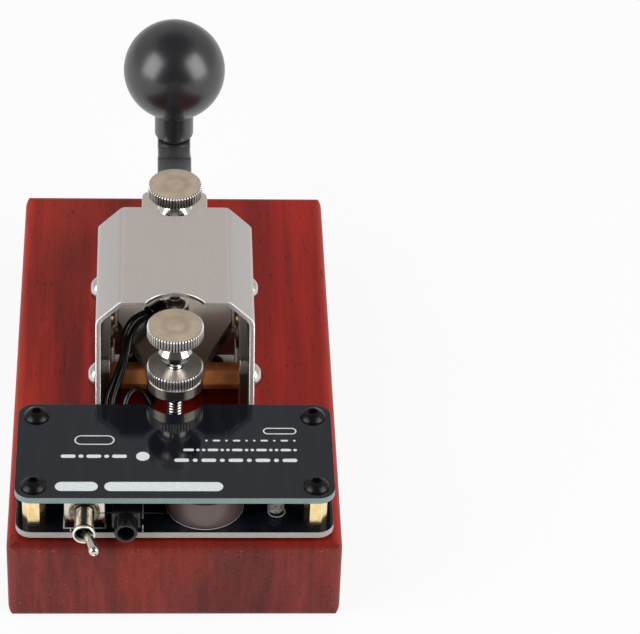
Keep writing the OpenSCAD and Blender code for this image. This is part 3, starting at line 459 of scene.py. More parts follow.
# Painted shade: the neck is painted far darker than nickel, as the shade under the upper board, its grooves
# darker still. Its outer end, out of that shade, is painted bright as painted light.
plate_tone = shaded_worn_nickel.layers(
    tone(150, 139, 122), (wear.between(0.35, 0.7), tone(104, 95, 82)),
    (lit_outer_end, tone(244, 241, 236)), (grooved(shaded_worn_nickel).between(0.3, 0.9), tone(46, 41, 36)))
shaded_worn_nickel.paint(Base_Color=plate_tone, Metallic=1.0, Roughness=0.16 + wear * 0.16 + lit_outer_end * 0.1)
print("switch plate:", len(shaded_worn_nickel.tree.nodes), "shader nodes")

# %% Brass
brass = Finish("turned_brass", "brass")
patina = brass.noise(scale=0.5, detail=4)
turning = brass.noise(scale=5.0, stretch=(0.1, 1, 1))
brass.paint(Base_Color=brass.mix(patina.between(0.35, 0.75), tone(252, 230, 176), tone(236, 202, 134)),
            Metallic=1.0, Roughness=0.16 + turning * 0.16, Normal=brass.relief(turning, 0.01))
print("brass:", len(brass.tree.nodes), "shader nodes")

# %% [markdown]
# ## Plastics, boards and wire
#
# Moulded parts look like plastic because of their highlights: a smooth skin with a very slight unevenness.
# The ball is a polished resin. The boards' solder mask is as smooth as lacquer, and the knurled screw
# mirrors dimly in it. Cut edges of a board show the bare glass fibre, so the edge colour is chosen by which
# way the face points.

# %% Black resin of the ball
resin = Finish("black_resin", "black_plastic")
mottle = resin.noise(scale=0.35, detail=3)
resin.paint(Base_Color=tone(23, 23, 27), Roughness=0.25 + mottle * 0.1, Specular_IOR_Level=0.9,
            Normal=resin.relief(resin.noise(scale=2.2), 0.006))
print("resin:", len(resin.tree.nodes), "shader nodes")


# %% Printed boards
def board_finish(name, edge_light, edge_dark):
    """Black solder mask on the flats and bare laminate where the face points sideways."""
    finish = Finish(name, "black_board")
    upward = finish.parts(finish.add("NewGeometry", out=1))[2].size()
    edge = 1 - upward.between(0.4, 0.6)
    weave = finish.noise(scale=2.6, detail=3, roughness=0.7, stretch=(1, 1, 4))
    tracks = finish.noise(scale=0.35, detail=1, stretch=(1, 0.15, 1)).between(0.56, 0.6)
    mask_colour = finish.mix(tracks * 0.5, tone(17, 20, 27), tone(24, 27, 34))
    laminate = finish.mix(weave.between(0.3, 0.7), edge_light, edge_dark)
    finish.paint(Base_Color=finish.mix(edge, mask_colour, laminate),
                 Roughness=0.06 + edge * 0.44 + weave * 0.04, Specular_IOR_Level=0.36,
                 Normal=finish.relief(tracks * 0.3 + weave * edge, 0.03))
    return finish


upper_mask = board_finish("upper_board_mask", tone(142, 160, 156), tone(112, 132, 129))
lower_mask = board_finish("lower_board_mask", tone(186, 184, 178), tone(150, 148, 143))
print("boards:", len(upper_mask.tree.nodes), "shader nodes each")

# %% Small plastics, ink and insulation
black_plastic = patchy("black_plastic", "black_plastic", (16, 16, 18), 0.16, 0.1, 2.5)
sounder_plastic = patchy(
    "sounder_plastic", "brown_plastic", (92, 76, 74), 0.28, 0.1, 0.6, Coat_Weight=0.15)
red_plastic = patchy("red_plastic", "red_plastic", (150, 26, 22), 0.3, 0.1, 2.0)
washer_nylon = patchy("washer_nylon", None, (40, 40, 42), 0.4, 0.1, 1.5)
insulation = patchy("wire_insulation", "wire_jacket", (20, 20, 22), 0.14, 0.12, 1.0)
ink = patchy(
    "white_ink", "white_plastic", (226, 232, 232), 0.5, 0.0, 3.0, 3, second=(206, 214, 215),
    between=(0.3, 0.7))
clear_resin = Finish("clear_resin", "clear_plastic")
glints = clear_resin.noise(scale=3.4, roughness=0.7)
# Painted highlights: the lamp's sparkle is painted into its colour as white glints and near-black gaps,
# besides its real bumps.
painted_glint_tone = clear_resin.mix(glints.between(0.42, 0.48), tone(24, 25, 24), tone(255, 255, 255))
clear_resin.paint(Base_Color=painted_glint_tone, Metallic=0.25, Roughness=0.04 + glints * 0.06,
                  Normal=clear_resin.relief(glints, 0.7), Transmission_Weight=0.1, IOR=1.5)
print(len(bpy.data.materials), "materials")

# %% [markdown]
# ## Shapes from two parameters
#
# Nearly everything new here is a surface with two parameters: how far along, and how far round. A grid of
# such points needs only one rule for its faces, so one function can close it into a tube, a disc or a ring,
# and the shape itself is a line or two of arithmetic.

# %% From a grid of points to a piece
def grid_faces(rows, columns, ring=False):
    """Four-sided faces between neighbouring rows and columns. The columns close into a ring, and
    with ring the rows do as well."""
    row = np.arange(rows if ring else rows - 1)[:, None]
    column = np.arange(columns)[None, :]
    after_row = (row + 1) % rows
    after_column = (column + 1) % columns
    corners = (row * columns + column, row * columns + after_column,
               after_row * columns + after_column, after_row * columns + column)
    return np.stack([corner + 0 * row * column for corner in corners], -1).reshape(-1, 4)


def joined(shapes):
    """Several shapes, each points and faces, as one set of points and faces."""
    points, faces = zip(*shapes)
    starts = np.cumsum([0] + [len(some) for some in points[:-1]])
    return np.vstack(points), np.vstack([some + start for some, start in zip(faces, starts)])


def reshaped(source, name, weld_mm, rework=None):
    """A new mesh from another: near points merged, reworked if asked, faces turned outwards."""
    shape = bmesh.new()
    shape.from_mesh(source)
    bmesh.ops.remove_doubles(shape, verts=shape.verts, dist=weld_mm * mm)
    if rework:
        rework(shape)
    bmesh.ops.recalc_face_normals(shape, faces=shape.faces)
    mesh = bpy.data.meshes.new(name)
    shape.to_mesh(mesh)
    shape.free()
    return mesh


def as_piece(name, mesh, finishes, body, replaces=(), sharp=35):
    """Shades a mesh smooth up to an angle, gives it its finishes and puts it on a body, if named."""
    mesh.shade_smooth()
    mesh.set_sharp_from_angle(angle=math.radians(sharp))
    for finish in finishes:
        mesh.materials.append(finish.material)
    piece = bpy.data.objects.new(name, mesh)
    scene.collection.objects.link(piece)
    if body:
        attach(piece, body)
    if replaces:
        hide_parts(*replaces)
    return piece


def piece_from(name, points_mm, faces, finish, body="base", groove=None, **rest):
    """A closed piece from points in millimetres and faces between them."""
    rough = bpy.data.meshes.new(name + "_rough")
    rough.from_pydata((np.asarray(points_mm) * mm).tolist(), [], faces.tolist())
    if groove is not None:
        rough.attributes.new("groove", "FLOAT", "POINT").data.foreach_set("value", groove)
    mesh = reshaped(rough, name, weld_mm=0.0005)
    bpy.data.meshes.remove(rough)
    return as_piece(name, mesh, [finish], body, **rest)


print("a ring of 4 by 3 points has", len(grid_faces(4, 3, True)), "faces")

# %% [markdown]
# ## Turned, knurled and threaded outlines
#
# A lathe part is a stack of closed outlines. Most are circles, but a knurled band, a hexagon socket and a
# screw thread are stacks too: only the radius depends on the angle as well. So one function makes every
# screw, nut, knob and button, from rows that name the outline.

# %% Stacks of outlines
knurls, knurl_depth, thread_share = 56, 0.32, 0.4


def stack_points(rows, sides, pitch):
    """Points of a stack of outlines, and how deep each is in a groove, 0 to 1. Each row is (kind,
    radius, height). A knurl's groove is half of 1 plus the cosine of the tooth angle, squared. A
    hexagon's radius is its corner radius times cos 30 over the cosine of the angle from the flat's
    middle. A thread is deepest where height over pitch differs by half a turn from the angle."""
    kind = np.array([row[0] for row in rows])[:, None]
    radius, height = np.array([row[1:] for row in rows], float).T[:, :, None]
    turn = np.linspace(0, 2 * np.pi, sides, endpoint=False)[None, :]
    hexagon = radius * math.cos(math.pi / 6) / np.cos(turn % (np.pi / 3) - np.pi / 6)
    knurl_groove = (0.5 + 0.5 * np.cos(turn * knurls)) ** 2 + 0 * radius
    thread_groove = 0.5 - 0.5 * np.cos(2 * np.pi * (height / pitch - turn / (2 * np.pi)))
    groove = np.select([kind == "knurl", kind == "thread"], [knurl_groove, thread_groove], 0.0)
    depth = np.where(kind == "knurl", knurl_depth, thread_share * pitch)
    reach = np.where(kind == "hexagon", hexagon, radius - groove * depth)
    points = np.stack((reach * np.cos(turn), reach * np.sin(turn), height + 0 * turn), -1)
    return points.reshape(-1, 3), groove.ravel()


def circles(*pairs):
    """Rows of circles from pairs of radius and height."""
    return [("circle", radius, height) for radius, height in pairs]


def turned(name, rows, places, finish, body="base", sides=48, ring=False, towards=(0, 0, 1),
           pitch=0.7, **rest):
    """One piece of equal turned shapes, the foot of each at a place and its axis in a direction."""
    points, groove = stack_points(rows, sides, pitch)
    turn = Vector((0, 0, 1)).rotation_difference(Vector(towards)).to_matrix()
    points = points @ np.array(turn).T
    faces = grid_faces(len(rows), sides, ring)
    places = np.reshape(places, (-1, 3))
    grid = joined([(points + place, faces) for place in places])
    return piece_from(name, *grid, finish, body, groove=np.tile(groove, len(places)), **rest)


def arc(centre_radius, centre_height, radius, start, end, steps=8):
    """Rows of circles along an arc of a turned profile, between two angles in degrees."""
    angles = np.radians(np.linspace(start, end, steps))
    across, up = centre_radius + radius * np.cos(angles), centre_height + radius * np.sin(angles)
    return circles(*zip(across, up))


def threaded(radius, low, high, pitch):
    """Rows of a screw thread, eight to a pitch, with a plain row at each end."""
    heights = np.linspace(low, high, max(2, round((high - low) / pitch * 8)))
    core = radius - thread_share * pitch
    return [("circle", core, low), *[("thread", radius, h) for h in heights], ("circle", core, high)]


print(knurls, "knurls round a head, each", knurl_depth, "mm deep")

# %% [markdown]
# ## Places on the key
#
# The construction model fixes every place. A few are repeated here in millimetres, because a turned piece
# is easier to read from its own foot.

# %% Heights and places
base_top, lower_top, upper_top, lever_top = 21.2, 23.8, 33.8, 38.6
pivot_y, pivot_z = 1.6, 30.8
contact_y, knob_y, arm_low = -36.9, -84.8, 23.4
bracket_t, lug_t, wall_outside = 2.0, 0.8, 17.95
bar_places = (-14.5, 17.7)
board_places = [(x, y) for x in (-30.9, 30.9) for y in (35.8, 59.4)]
sounder_x, sounder_y = -6.6, 53.9
lamp_x, lamp_y = -22.3, 55.4
switch_x, switch_z = 19.8, 27.4
print("from the axle to the contact:", round(pivot_y - contact_y, 1), "mm")

# %% [markdown]
# ## The ball knob
#
# The ball and its neck are one turning of black resin, with a small fillet that catches a thin line of
# light. It touches the neck and the ball, which fixes its centre.

# %% Ball knob
knob_place = (0, knob_y, 26.4)
ball_r, neck_r, ball_up, fillet_r = 12.7, 4.9, 19.7, 1.3
fillet_across = neck_r + fillet_r
fillet_down = math.sqrt((ball_r + fillet_r) ** 2 - fillet_across ** 2)
meet = math.degrees(math.atan2(fillet_down, fillet_across))
knob_rows = [
    *circles((0, 11.4), (2.05, 11.4), (2.05, 0.3), (2.35, 0)), *arc(neck_r - 1, 1, 1, -90, 0, 6),
    *arc(fillet_across, ball_up - fillet_down, fillet_r, 180, 180 - meet, 8),
    *arc(0, ball_up, ball_r, -meet, 90, 60)]
turned("ball", knob_rows, knob_place, resin, "lever", sides=128, replaces=["ball_knob"])
print("fillet meets the ball", round(90 - meet, 1), "degrees from straight down")

# %% [markdown]
# ## Thumb screws and lock nuts
#
# Both gaps of the key are set with a knurled thumb screw and held by a knurled nut. The head is turned, so
# its top is slightly dished and keeps a small pit at the centre. The knurl runs out over the eased edges,
# which a bump texture couldn't show in outline.

# %% Thumb screws
thread_r, thumb_pitch = 1.75, 0.8
head_r, collar_r, shoulder_r, throat_r = 6.35, 4.05, 3.37, 2.6
cone_low, shoulder_low, collar_low, throat_low, head_low, head_high = -1.4, 0.3, 2.0, 4.4, 6.0, 9.0
knurled_sides = knurls * 8


def knurled_band(low, high, start=0.2):
    """Rows of a knurled rim with eased edges; the lower edge starts this far inside the rim."""
    return [("knurl", head_r - start, low + 0.03), ("knurl", head_r, low + 0.25),
            ("knurl", head_r, high - 0.28), ("knurl", head_r - 0.2, high - 0.05)]


def thumb_screw_rows(tip):
    """Threaded shaft from the tip up, cone, shoulder, sloped collar, throat and knurled head."""
    neck_r = thread_r - 0.25
    return [
        *circles((0, tip), (thread_r - 0.6, tip)),
        *threaded(thread_r, tip + 0.4, cone_low - 0.5, thumb_pitch),
        *circles((neck_r, cone_low - 0.3), (neck_r, cone_low),
                 (shoulder_r - 0.15, shoulder_low - 0.1), (shoulder_r, shoulder_low),
                 (shoulder_r, collar_low - 0.05), (collar_r - 0.15, collar_low),
                 (collar_r, collar_low + 0.15), (collar_r, collar_low + 0.3),
                 (collar_r - 0.1, collar_low + 0.45), (throat_r, throat_low),
                 (throat_r, head_low), (head_r - 0.6, head_low)),
        *knurled_band(head_low, head_high, start=0.22),
        *circles((head_r - 0.54, head_high), (head_r - 0.7, head_high - 0.02),
                 (head_r - 2.6, head_high - 0.06), (0.5, head_high - 0.08), (0, head_high - 0.12))]


for end, y, top, tip, finish in (("front", front_y, front_top, -15.4, front_nickel),
                                 ("rear", rear_y, rear_top, -19.75, rear_nickel)):
    node = end + "_thumb_screw"
    turned(end + "_thumb", thumb_screw_rows(tip), (0, y, top - head_high), finish, node,
           sides=knurled_sides, pitch=thumb_pitch, replaces=[node], sharp=24)
print("two thumb screws with", knurled_sides, "points round each outline")

# %% Lock nuts
nut_h, nut_bore = 2.8, 1.8
lock_nut_rows = [
    *circles((nut_bore, 0.25), (nut_bore + 0.25, 0), (head_r - 0.7, 0)), *knurled_band(0, nut_h),
    *circles((head_r - 0.54, nut_h), (nut_bore + 0.3, nut_h), (nut_bore, nut_h - 0.3))]
for end, y in (("front", front_y), ("rear", rear_y)):
    node = end + "_lock_nut"
    turned(end + "_nut", lock_nut_rows, (0, y, lever_top), nut_nickel, node,
           sides=knurled_sides, ring=True, replaces=[node], sharp=24)
print("two lock nuts,", nut_h, "mm high")

# %% [markdown]
# ## Button-head screws
#
# The boards are held by black oxide button screws, the cover by stainless ones. The domed head is an arc
# through the rim and the top, and its socket is a few hexagon outlines inside, so the same rows serve every
# size.

# %% Button screws
def button_rows(sizes, pitch):
    """Rows from the tip of the shank to the floor of the socket; the head sits on height 0. The
    sizes are the shank's width and length, the head's width and height, and the socket's width."""
    shank_d, length, head_d, head_h, socket_w = sizes
    rim = 0.3
    half = head_d / 2
    dome_h = head_h - rim
    dome_r = (half * half + dome_h * dome_h) / (2 * dome_h)
    corner = socket_w / 2 / math.cos(math.pi / 6)
    mouth = corner + 0.25
    low = math.degrees(math.asin((dome_r - dome_h) / dome_r))
    high = math.degrees(math.acos(mouth / dome_r))
    top = head_h - dome_r + math.sqrt(dome_r ** 2 - mouth ** 2)
    shank_r = shank_d / 2
    return [*circles((0, -length), (shank_r - 0.5, -length)),
            *threaded(shank_r, 0.3 - length, -0.4, pitch),
            *circles((shank_r, -0.2), (shank_r, 0), (half - 0.1, 0), (half, 0.1)),
            *arc(0, head_h - dome_r, dome_r, low, high, 9),
            ("hexagon", corner + 0.04, top), ("hexagon", corner, top - 0.12),
            ("hexagon", corner, head_h * 0.42), *circles((0, head_h * 0.3))]


def button_screws(name, node, places, sizes, pitch, finish, body="base", towards=(0, 0, 1)):
    """Equal button screws at these places, instead of a construction node."""
    turned(name, button_rows(sizes, pitch), places, finish, body, towards=towards, pitch=pitch,
           replaces=[node])


floor_screws = [(x, 3.5, base_top + bracket_t) for x in (-8.6, 8.6)]
button_screws("board_screw_heads", "board_screws", [(x, y, upper_top) for x, y in board_places],
              (3, 6, 5.7, 1.7, 2), 0.5, black_oxide)
button_screws("bracket_screw_heads", "bracket_screws", floor_screws, (3, 12, 5.7, 1.7, 2), 0.5, black_oxide)
for side, name in ((-1, "left"), (1, "right")):
    button_screws("side_screw_heads_" + name, "side_screws",
                  [(side * wall_outside, y, pivot_z) for y in bar_places],
                  (3, 9, 6, 2.1, 2), 0.5, polished_screw, "base", (side, 0, 0))
button_screws("lug_screw_head", "lug_screw", (0, pivot_y, lever_top + lug_t),
              (3, 6, 5, 1.7, 2), 0.5, polished_screw, "lever")
button_screws("contact_screw_head", "contact_screw", (0, contact_y, lever_top),
              (4, 12, 7.8, 2.2, 2.5), 0.7, polished_screw, "lever")
button_screws("knob_screw_head", "knob_screw", (0, knob_y, arm_low),
              (4, 14, 7, 2, 2.5), 0.7, polished_screw, "lever", (0, 0, -1))
print("button screws:", len(board_places) + len(floor_screws) + 2 * len(bar_places) + 3)

# %% [markdown]
# ## Sheet and bar with eased edges
#
# Sawn and stamped metal has a small bright line along its edges, where a file has broken the corner. The
# shapes of these parts are exact already, so each is a copy of its construction mesh, with a narrow round
# strip along every crisp edge.

# %% Eased copies
def eased(node, width, body, *finishes, crisp=28, flat=0.6):
    """A copy of a construction node, with its crisp edges rounded over a strip of this width. The
    strip has the last of the finishes and the rest the first."""
    def ease(shape):
        bmesh.ops.dissolve_limit(shape, angle_limit=math.radians(flat), verts=shape.verts,
                                 edges=shape.edges)
        edges = [e for e in shape.edges if e.is_manifold and e.calc_face_angle() > math.radians(crisp)]
        bmesh.ops.bevel(shape, geom=edges, offset=width * mm, offset_type="OFFSET", segments=2,
                        profile=0.5, affect="EDGES", material=1, clamp_overlap=False)

    name = node + "_eased"
    mesh = reshaped(nodes[node].data, name, weld_mm=0.002, rework=ease)
    return as_piece(name, mesh, [finishes[0], finishes[-1]], body, replaces=[node], sharp=20)


eased_parts = {
    "cover": (0.2, "base", cover_sheet, bright_edge),
    "bracket": (0.15, "base", bent_plate, bright_edge),
    "lever": (0.2, "lever", steel, steel_edge),
    "pivot_block": (0.2, "lever", blasted, bright_edge),
    "contact_nut": (0.15, "lever", polished_screw, steel_edge),
    "wire_lug": (0.08, "lever", nickel),
    "lug_sleeve": (0.1, "lever", insulation),
    "front_cross_bar": (0.18, "base", wood_reflection_brass),
    "rear_cross_bar": (0.18, "base", wood_reflection_brass),
    "board_pillars": (0.15, "base", brass, brass_edge),
    "upper_board": (0.08, "base", upper_mask),
    "lower_board": (0.08, "base", lower_mask),
    "socket_housing": (0.3, "base", black_plastic),
    "switch_housing": (0.2, "base", red_plastic),
    "switch_frame": (0.1, "base", frame_metal)}
for node, settings in eased_parts.items():
    eased(node, *settings)
print(len(eased_parts), "parts with eased edges")

# %% [markdown]
# ## Tubes along a route
#
# The wires and the spring are round tubes along a line. A route of chosen points is smoothed by a Catmull-
# Rom curve, which passes through all of them. The spring's line is a helix, with a slower rise in the first
# and last turn so that it stands square.

# %% Routes and tubes
def smooth_route(route, steps=6):
    """Catmull-Rom: between two points, a cubic whose slope at each is half the step between its
    neighbours. Heights in the route are above the base."""
    route = np.array(route, float) + (0, 0, base_top)
    before = np.vstack((2 * route[0] - route[1], route[:-2]))
    start, end = route[:-1], route[1:]
    after = np.vstack((route[2:], 2 * route[-1] - route[-2]))
    t = np.linspace(0, 1, steps, endpoint=False)[None, :, None]
    before, start, end, after = (a[:, None, :] for a in (before, start, end, after))
    curve = 0.5 * (2 * start + (end - before) * t + (2 * before - 5 * start + 4 * end - after) * t ** 2
                   + (3 * start - before - 3 * end + after) * t ** 3)
    return np.vstack((curve.reshape(-1, 3), route[-1:]))


def tube_grid(line, radius, sides=12):
    """A tube round a line: at each point, a circle across it. The circle's own directions are
    carried along and made square to the line again, so the tube never twists."""
    line = np.asarray(line, float)
    along = np.gradient(line, axis=0)
    along /= np.linalg.norm(along, axis=1)[:, None]
    side = np.zeros_like(line)
    start = np.cross(along[0], (0.31, 0.52, 0.79))
    side[0] = start / np.linalg.norm(start)
    for i in range(1, len(line)):
        carried = side[i - 1] - along[i] * (side[i - 1] @ along[i])
        side[i] = carried / np.linalg.norm(carried)
    other = np.cross(along, side)
    turn = np.linspace(0, 2 * np.pi, sides, endpoint=False)
    ring = np.cos(turn)[None, :, None] * side[:, None, :] + np.sin(turn)[None, :, None] * other[:, None, :]
    body = line[:, None, :] + radius * ring
    first_end, last_end = (np.repeat(end[None, None, :], sides, 1) for end in (line[0], line[-1]))
    closed = np.concatenate((first_end, body, last_end))
    return closed.reshape(-1, 3), grid_faces(len(closed), sides)


# %% The return spring
spring_place = np.array([0, front_y, 19.6])
wire_r, mean_r, turns, rise = 0.3, 1.7, 7, 11.0
share = np.linspace(0, 1, turns * 24 + 1)
flat = 1 / turns
end_rise = 1.8 * 2 * wire_r
height = np.interp(share, [0, flat, 1 - flat, 1], [0, end_rise, rise - end_rise, rise])
angle = 2 * np.pi * turns * share
helix = np.stack((mean_r * np.cos(angle), mean_r * np.sin(angle), height), 1)
spring = piece_from("spring_coil", *tube_grid(helix + spring_place, wire_r, 10), spring_wire,
                    replaces=["return_spring"], sharp=60)
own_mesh(spring)

# %% The wires
lever_routes = [
    [(4.6, 7.2, 19.4), (6.6, 9, 19.7), (8.6, 11.6, 19.7), (10, 14.6, 18.8), (10.7, 17.6, 17),
     (11.5, 20.6, 14.7), (12.8, 23.4, 12), (13.9, 26.2, 9.4), (13.8, 29, 7.4), (13, 32, 6.2),
     (12.1, 34.3, 5), (11.7, 35.4, 3.8), (11.7, 35.5, 2.75)],
    [(5.6, 6.2, 19.4), (8, 8, 19.8), (10.1, 10.4, 19.6), (11.5, 13, 18.1), (11.8, 15.9, 16),
     (12.4, 19, 14), (13.9, 22, 11.8), (15.3, 24.8, 9.5), (15.7, 27.2, 7.4), (15.5, 29.8, 6),
     (14.9, 32.4, 5.4), (14.1, 34.4, 4.8), (13.7, 35.3, 3.9), (13.7, 35.4, 2.75)]]
contact_route = [
    (9.6, 35.6, 2.75), (9.6, 35.5, 3.8), (10.2, 33.8, 4.9), (11, 31.4, 6), (11.4, 29.2, 7.8),
    (11, 27.2, 10), (9.7, 25.5, 11.4), (7.9, 24, 10.6), (6.5, 22.9, 7.4), (5.6, 22.2, 4),
    (5.2, 20.6, 1.6), (5, 18, 0.8), (4.8, 14.6, 0.9), (4.8, 12.4, 1.6), (4.8, 10.6, 2.8),
    (4.8, 8, 3), (4.8, 0, 2.9), (4.8, -5, 3), (4.9, -7.6, 2.8), (5.1, -9.6, 1.6), (5.4, -12, 0.9),
    (5.8, -20, 0.8), (5.7, -26, 0.8), (4.9, -31, 1), (4.2, -33.2, 1.7), (3.4, -35.2, 2)]
insulation_r = 0.65
pair = joined([tube_grid(smooth_route(route), insulation_r) for route in lever_routes])
leads = piece_from("lever_leads", *pair, insulation, None, replaces=["lever_wires"], sharp=60)
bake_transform(leads)
piece_from("contact_lead", *tube_grid(smooth_route(contact_route), insulation_r), insulation,
           replaces=["contact_wire"], sharp=60)
print("three wires,", len(pair[0]), "points in the pair")

# %% Solder joints where the wires meet the board
solder_rows = circles((0, 0), (1.15, 0), (1.1, 0.12), (0.85, 0.4), (0.7, 0.8), (0.5, 0.95), (0, 1.0))
wire_ends = [(x, y, lower_top) for x, y in ((13.7, 35.4), (11.7, 35.5), (9.6, 35.6))]
turned("solder_joints", solder_rows, wire_ends, nickel, sides=24)
print(len(wire_ends), "solder joints")

# %% [markdown]
# ## White print on the boards
#
# Screen-printed ink stands a few hundredths of a millimetre off the board. It could be a texture, but the
# marks are few and crisp, so each is a thin plate with round corners, filled to its middle or left open as
# a ring.

# %% Printed marks
ink_t = 0.025


def pill(x0, x1, y0, y1, round_r, sides=32):
    """Outline of a box with round corners: each corner's middle plus radius times the cosine and
    sine of the angle, the corner being the one that the angle points to."""
    turn = (np.arange(sides) + 0.5) * 2 * np.pi / sides
    across, along = np.cos(turn), np.sin(turn)
    half = np.array([(x1 - x0) / 2 - round_r, (y1 - y0) / 2 - round_r])
    middle = np.array([(x0 + x1) / 2, (y0 + y1) / 2])
    return middle + np.sign(np.stack((across, along), 1)) * half + round_r * np.stack((across, along), 1)


def plate(levels, ring=False):
    """A thin body: outlines of as many points at heights, each joined to the next."""
    rows = [np.column_stack((outline, np.full(len(outline), height))) for outline, height in levels]
    return np.vstack(rows), grid_faces(len(levels), len(rows[0]), ring)


def rounded_mark(x0, x1, y0, y1, round_r=None):
    """A filled mark: the middle, the outline below, the outline above, and the middle again."""
    outline = pill(x0, x1, y0, y1, round_r or min(x1 - x0, y1 - y0) / 2)
    centre = np.repeat(outline.mean(0)[None, :], len(outline), 0)
    return plate([(centre, 0), (outline, 0), (outline, ink_t), (centre, ink_t)])


def outlined_mark(x0, x1, y0, y1, round_r, line=0.3):
    """An open mark: a ring between an outline and a second one inside it, a line's width away."""
    outer = pill(x0, x1, y0, y1, round_r)
    inner = pill(x0 + line, x1 - line, y0 + line, y1 - line, max(round_r - line, 0.05))
    return plate([(outer, 0), (outer, ink_t), (inner, ink_t), (inner, 0)], ring=True)


def dot_dash_row(pattern, x0, x1, y, size):
    """Dots and dashes spread evenly from x0 to x1; a dash is three dots long."""
    lengths = np.array([3 if sign == "-" else 1 for sign in pattern]) * size
    gap = (x1 - x0 - lengths.sum()) / (len(pattern) - 1)
    starts = x0 + np.concatenate(([0], np.cumsum(lengths + gap)[:-1]))
    return [rounded_mark(s, s + l, y - size / 2, y + size / 2) for s, l in zip(starts, lengths)]


def print_marks(name, marks, z):
    """All the marks on one board, as one piece that lies on height z."""
    points, faces = joined(marks)
    piece_from(name, points + (0, 0, z), faces, ink)
    print(name, "has", len(marks), "marks")


# %% Marks on both boards
print_marks("upper_print", [
    rounded_mark(-10.5, 15.45, 58.2, 61.2), rounded_mark(16.85, 26.2, 58.2, 61.2),
    outlined_mark(-27.1, -19.6, 39.8, 42.0, round_r=1.1),
    outlined_mark(13.4, 22.3, 42.5, 45.7, round_r=1.6),
    *dot_dash_row(".-.-..-.-.", -26.8, -6.7, 44.2, size=0.55),
    *dot_dash_row("-.-.-.-.-", -27.0, 0.2, 50.9, size=1.1),
    *dot_dash_row(".-..-..-..-..-", -27.0, -1.8, 47.4, size=0.8),
    *dot_dash_row("-.-.-", 10.6, 25.2, 49.6, size=1.1),
    rounded_mark(5.6, 8.6, 48.1, 51.1)], upper_top)
print_marks("lower_print", [
    outlined_mark(15.1, 24.5, 55.2, 62.3, round_r=0.2), rounded_mark(22.7, 23.0, 62.3, 63.3, 0.1),
    rounded_mark(6.9, 7.2, 52.0, 63.3, 0.1)], lower_top)
ring_marks = (("sounder_ring", sounder_x, sounder_y, 8.75, 8.6), ("lamp_ring", -22.5, 56.6, 1.98, 1.74))
for name, x, y, outer, inner in ring_marks:
    turned(name, circles((inner, 0), (outer, 0), (outer, ink_t), (inner, ink_t)), (x, y, lower_top),
           ink, sides=72, ring=True)
print(len(ring_marks), "rings round the sounder and the lamp")

# %% [markdown]
# ## Sounder and lamp
#
# The sounder is a round moulded can with a stepped lid and a sound hole. The lamp is a clear resin dome on
# a flange. What makes it read as a lamp is inside: two steel posts, one with a small cup for the chip.

# %% Sounder
sounder_r, sounder_h = 8.55, 7.6
lid_low, sound_hole_r = sounder_h - 0.55, 1.2
sounder_rows = circles(
    (0, 0), (sounder_r - 0.2, 0), (sounder_r, 0.2), (sounder_r, lid_low - 0.2),
    (sounder_r - 0.12, lid_low - 0.05), (sounder_r - 0.5, lid_low), (sounder_r - 0.55, sounder_h - 0.2),
    (sounder_r - 0.75, sounder_h), (sound_hole_r + 0.2, sounder_h), (sound_hole_r, sounder_h - 0.2),
    (sound_hole_r, sounder_h - 1.5), (0, sounder_h - 1.5))
turned("sounder_can", sounder_rows, (sounder_x, sounder_y, lower_top), sounder_plastic,
       sides=128, replaces=["sounder"])
print("sounder is", sounder_h, "mm high")

# %% Lamp
lamp_r, lamp_h = 1.5, 5.3
lamp_rows = [
    *circles((0, 0), (1.85, 0), (1.9, 0.1), (1.9, 0.85), (1.8, 1.0), (lamp_r + 0.02, 1.02), (lamp_r, 1.15)),
    *arc(0, lamp_h - lamp_r, lamp_r, 0, 90, 16)]
turned("lamp_dome", lamp_rows, (lamp_x, lamp_y, lower_top), clear_resin, replaces=["lamp"])
cup_rows = circles((0, 0.3), (0.4, 0.3), (0.45, 1.9), (0.72, 2.4), (0.76, 3.2), (0.45, 2.8), (0, 2.8))
post_rows = circles((0, 0.3), (0.3, 0.3), (0.34, 3.0), (0, 3.1))
for name, rows, aside, sides in (("lamp_cup", cup_rows, -0.35, 24), ("lamp_post", post_rows, 0.95, 16)):
    turned(name, rows, (lamp_x + aside, lamp_y, lower_top), lead_frame, sides=sides)
print("lamp is", lamp_h, "mm high")

# %% [markdown]
# ## The toggle switch
#
# The switch is a red case in a bent metal frame. Its threaded neck flares at the mouth, and the tapered
# lever inside ends in a round tip. The lever leans at rest, in one of its two positions.

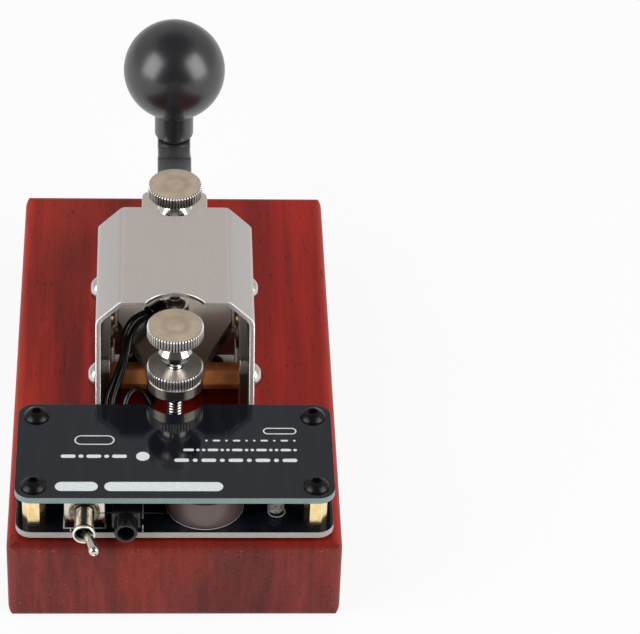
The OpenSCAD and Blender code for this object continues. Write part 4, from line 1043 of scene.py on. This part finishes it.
# %% Toggle switch
switch_pitch = 0.32
neck_rows = [
    *circles((1.5, -0.6), (2.15, -0.6), (2.15, 0), (3.4, 0), (3.45, 0.06), (3.45, 0.24), (3.38, 0.3),
             (3.0, 0.3), (3.0, 0.66), (2.9, 0.74), (2.16, 0.74)),
    *threaded(2.15, 0.9, 6.3, switch_pitch),
    *circles((2.15, 6.6), (2.4, 6.95), (2.5, 7.1), (2.5, 7.48), (2.4, 7.6), (2.1, 7.6), (1.98, 7.2),
             (1.5, 6.1), (1.5, 5.4), (1.62, 4.9), (1.66, 4.2), (1.62, 3.5), (1.5, 2.9))]
turned("switch_neck", neck_rows, (switch_x, 60.8, switch_z), shaded_worn_nickel, sides=64, ring=True,
       towards=(0, 1, 0), pitch=switch_pitch, replaces=["switch_bushing"])
lean = math.radians(15)
bat_rows = [
    *arc(0, 0, 1.4, -90, 55, 14),
    *circles((0.82, 1.3), (0.95, 3.4), (1.1, 7.2), (1.18, 8.4), (1.2, 8.7), (1.17, 8.95), (1.0, 9.34),
             (0.76, 9.6), (0.55, 9.68), (0.4, 9.55), (0, 9.45))]
turned("switch_bat", bat_rows, (switch_x, 65.0, switch_z), nickel, "switch_lever",
       towards=(-math.sin(lean), math.cos(lean), 0), replaces=["switch_lever"])
print("toggle lever leans", round(math.degrees(lean)), "degrees")

# %% [markdown]
# ## Parts that keep their construction shape
#
# The wood block and the small parts inside have the right shape already, so they only get their finish.

# %% Finishes on the construction parts
kept_finishes = {
    "wood_base": wood, "side_screws": polished_screw, "pivot_bushes": brass, "pivot_axle": polished_screw,
    "anvil": brass, "spring_cup": brass, "rear_stop": polished_screw, "board_washers": washer_nylon,
    "base_bolts": polished_screw, "lamp_resistor": black_plastic, "socket_contacts": nickel,
    "cell_holder": black_plastic, "button_cell": polished_screw}
for node, finish in kept_finishes.items():
    nodes[node].data.materials.clear()
    nodes[node].data.materials.append(finish.material)
print(len(kept_finishes), "construction parts keep their shape")

# %% The end
bpy.context.view_layer.update()
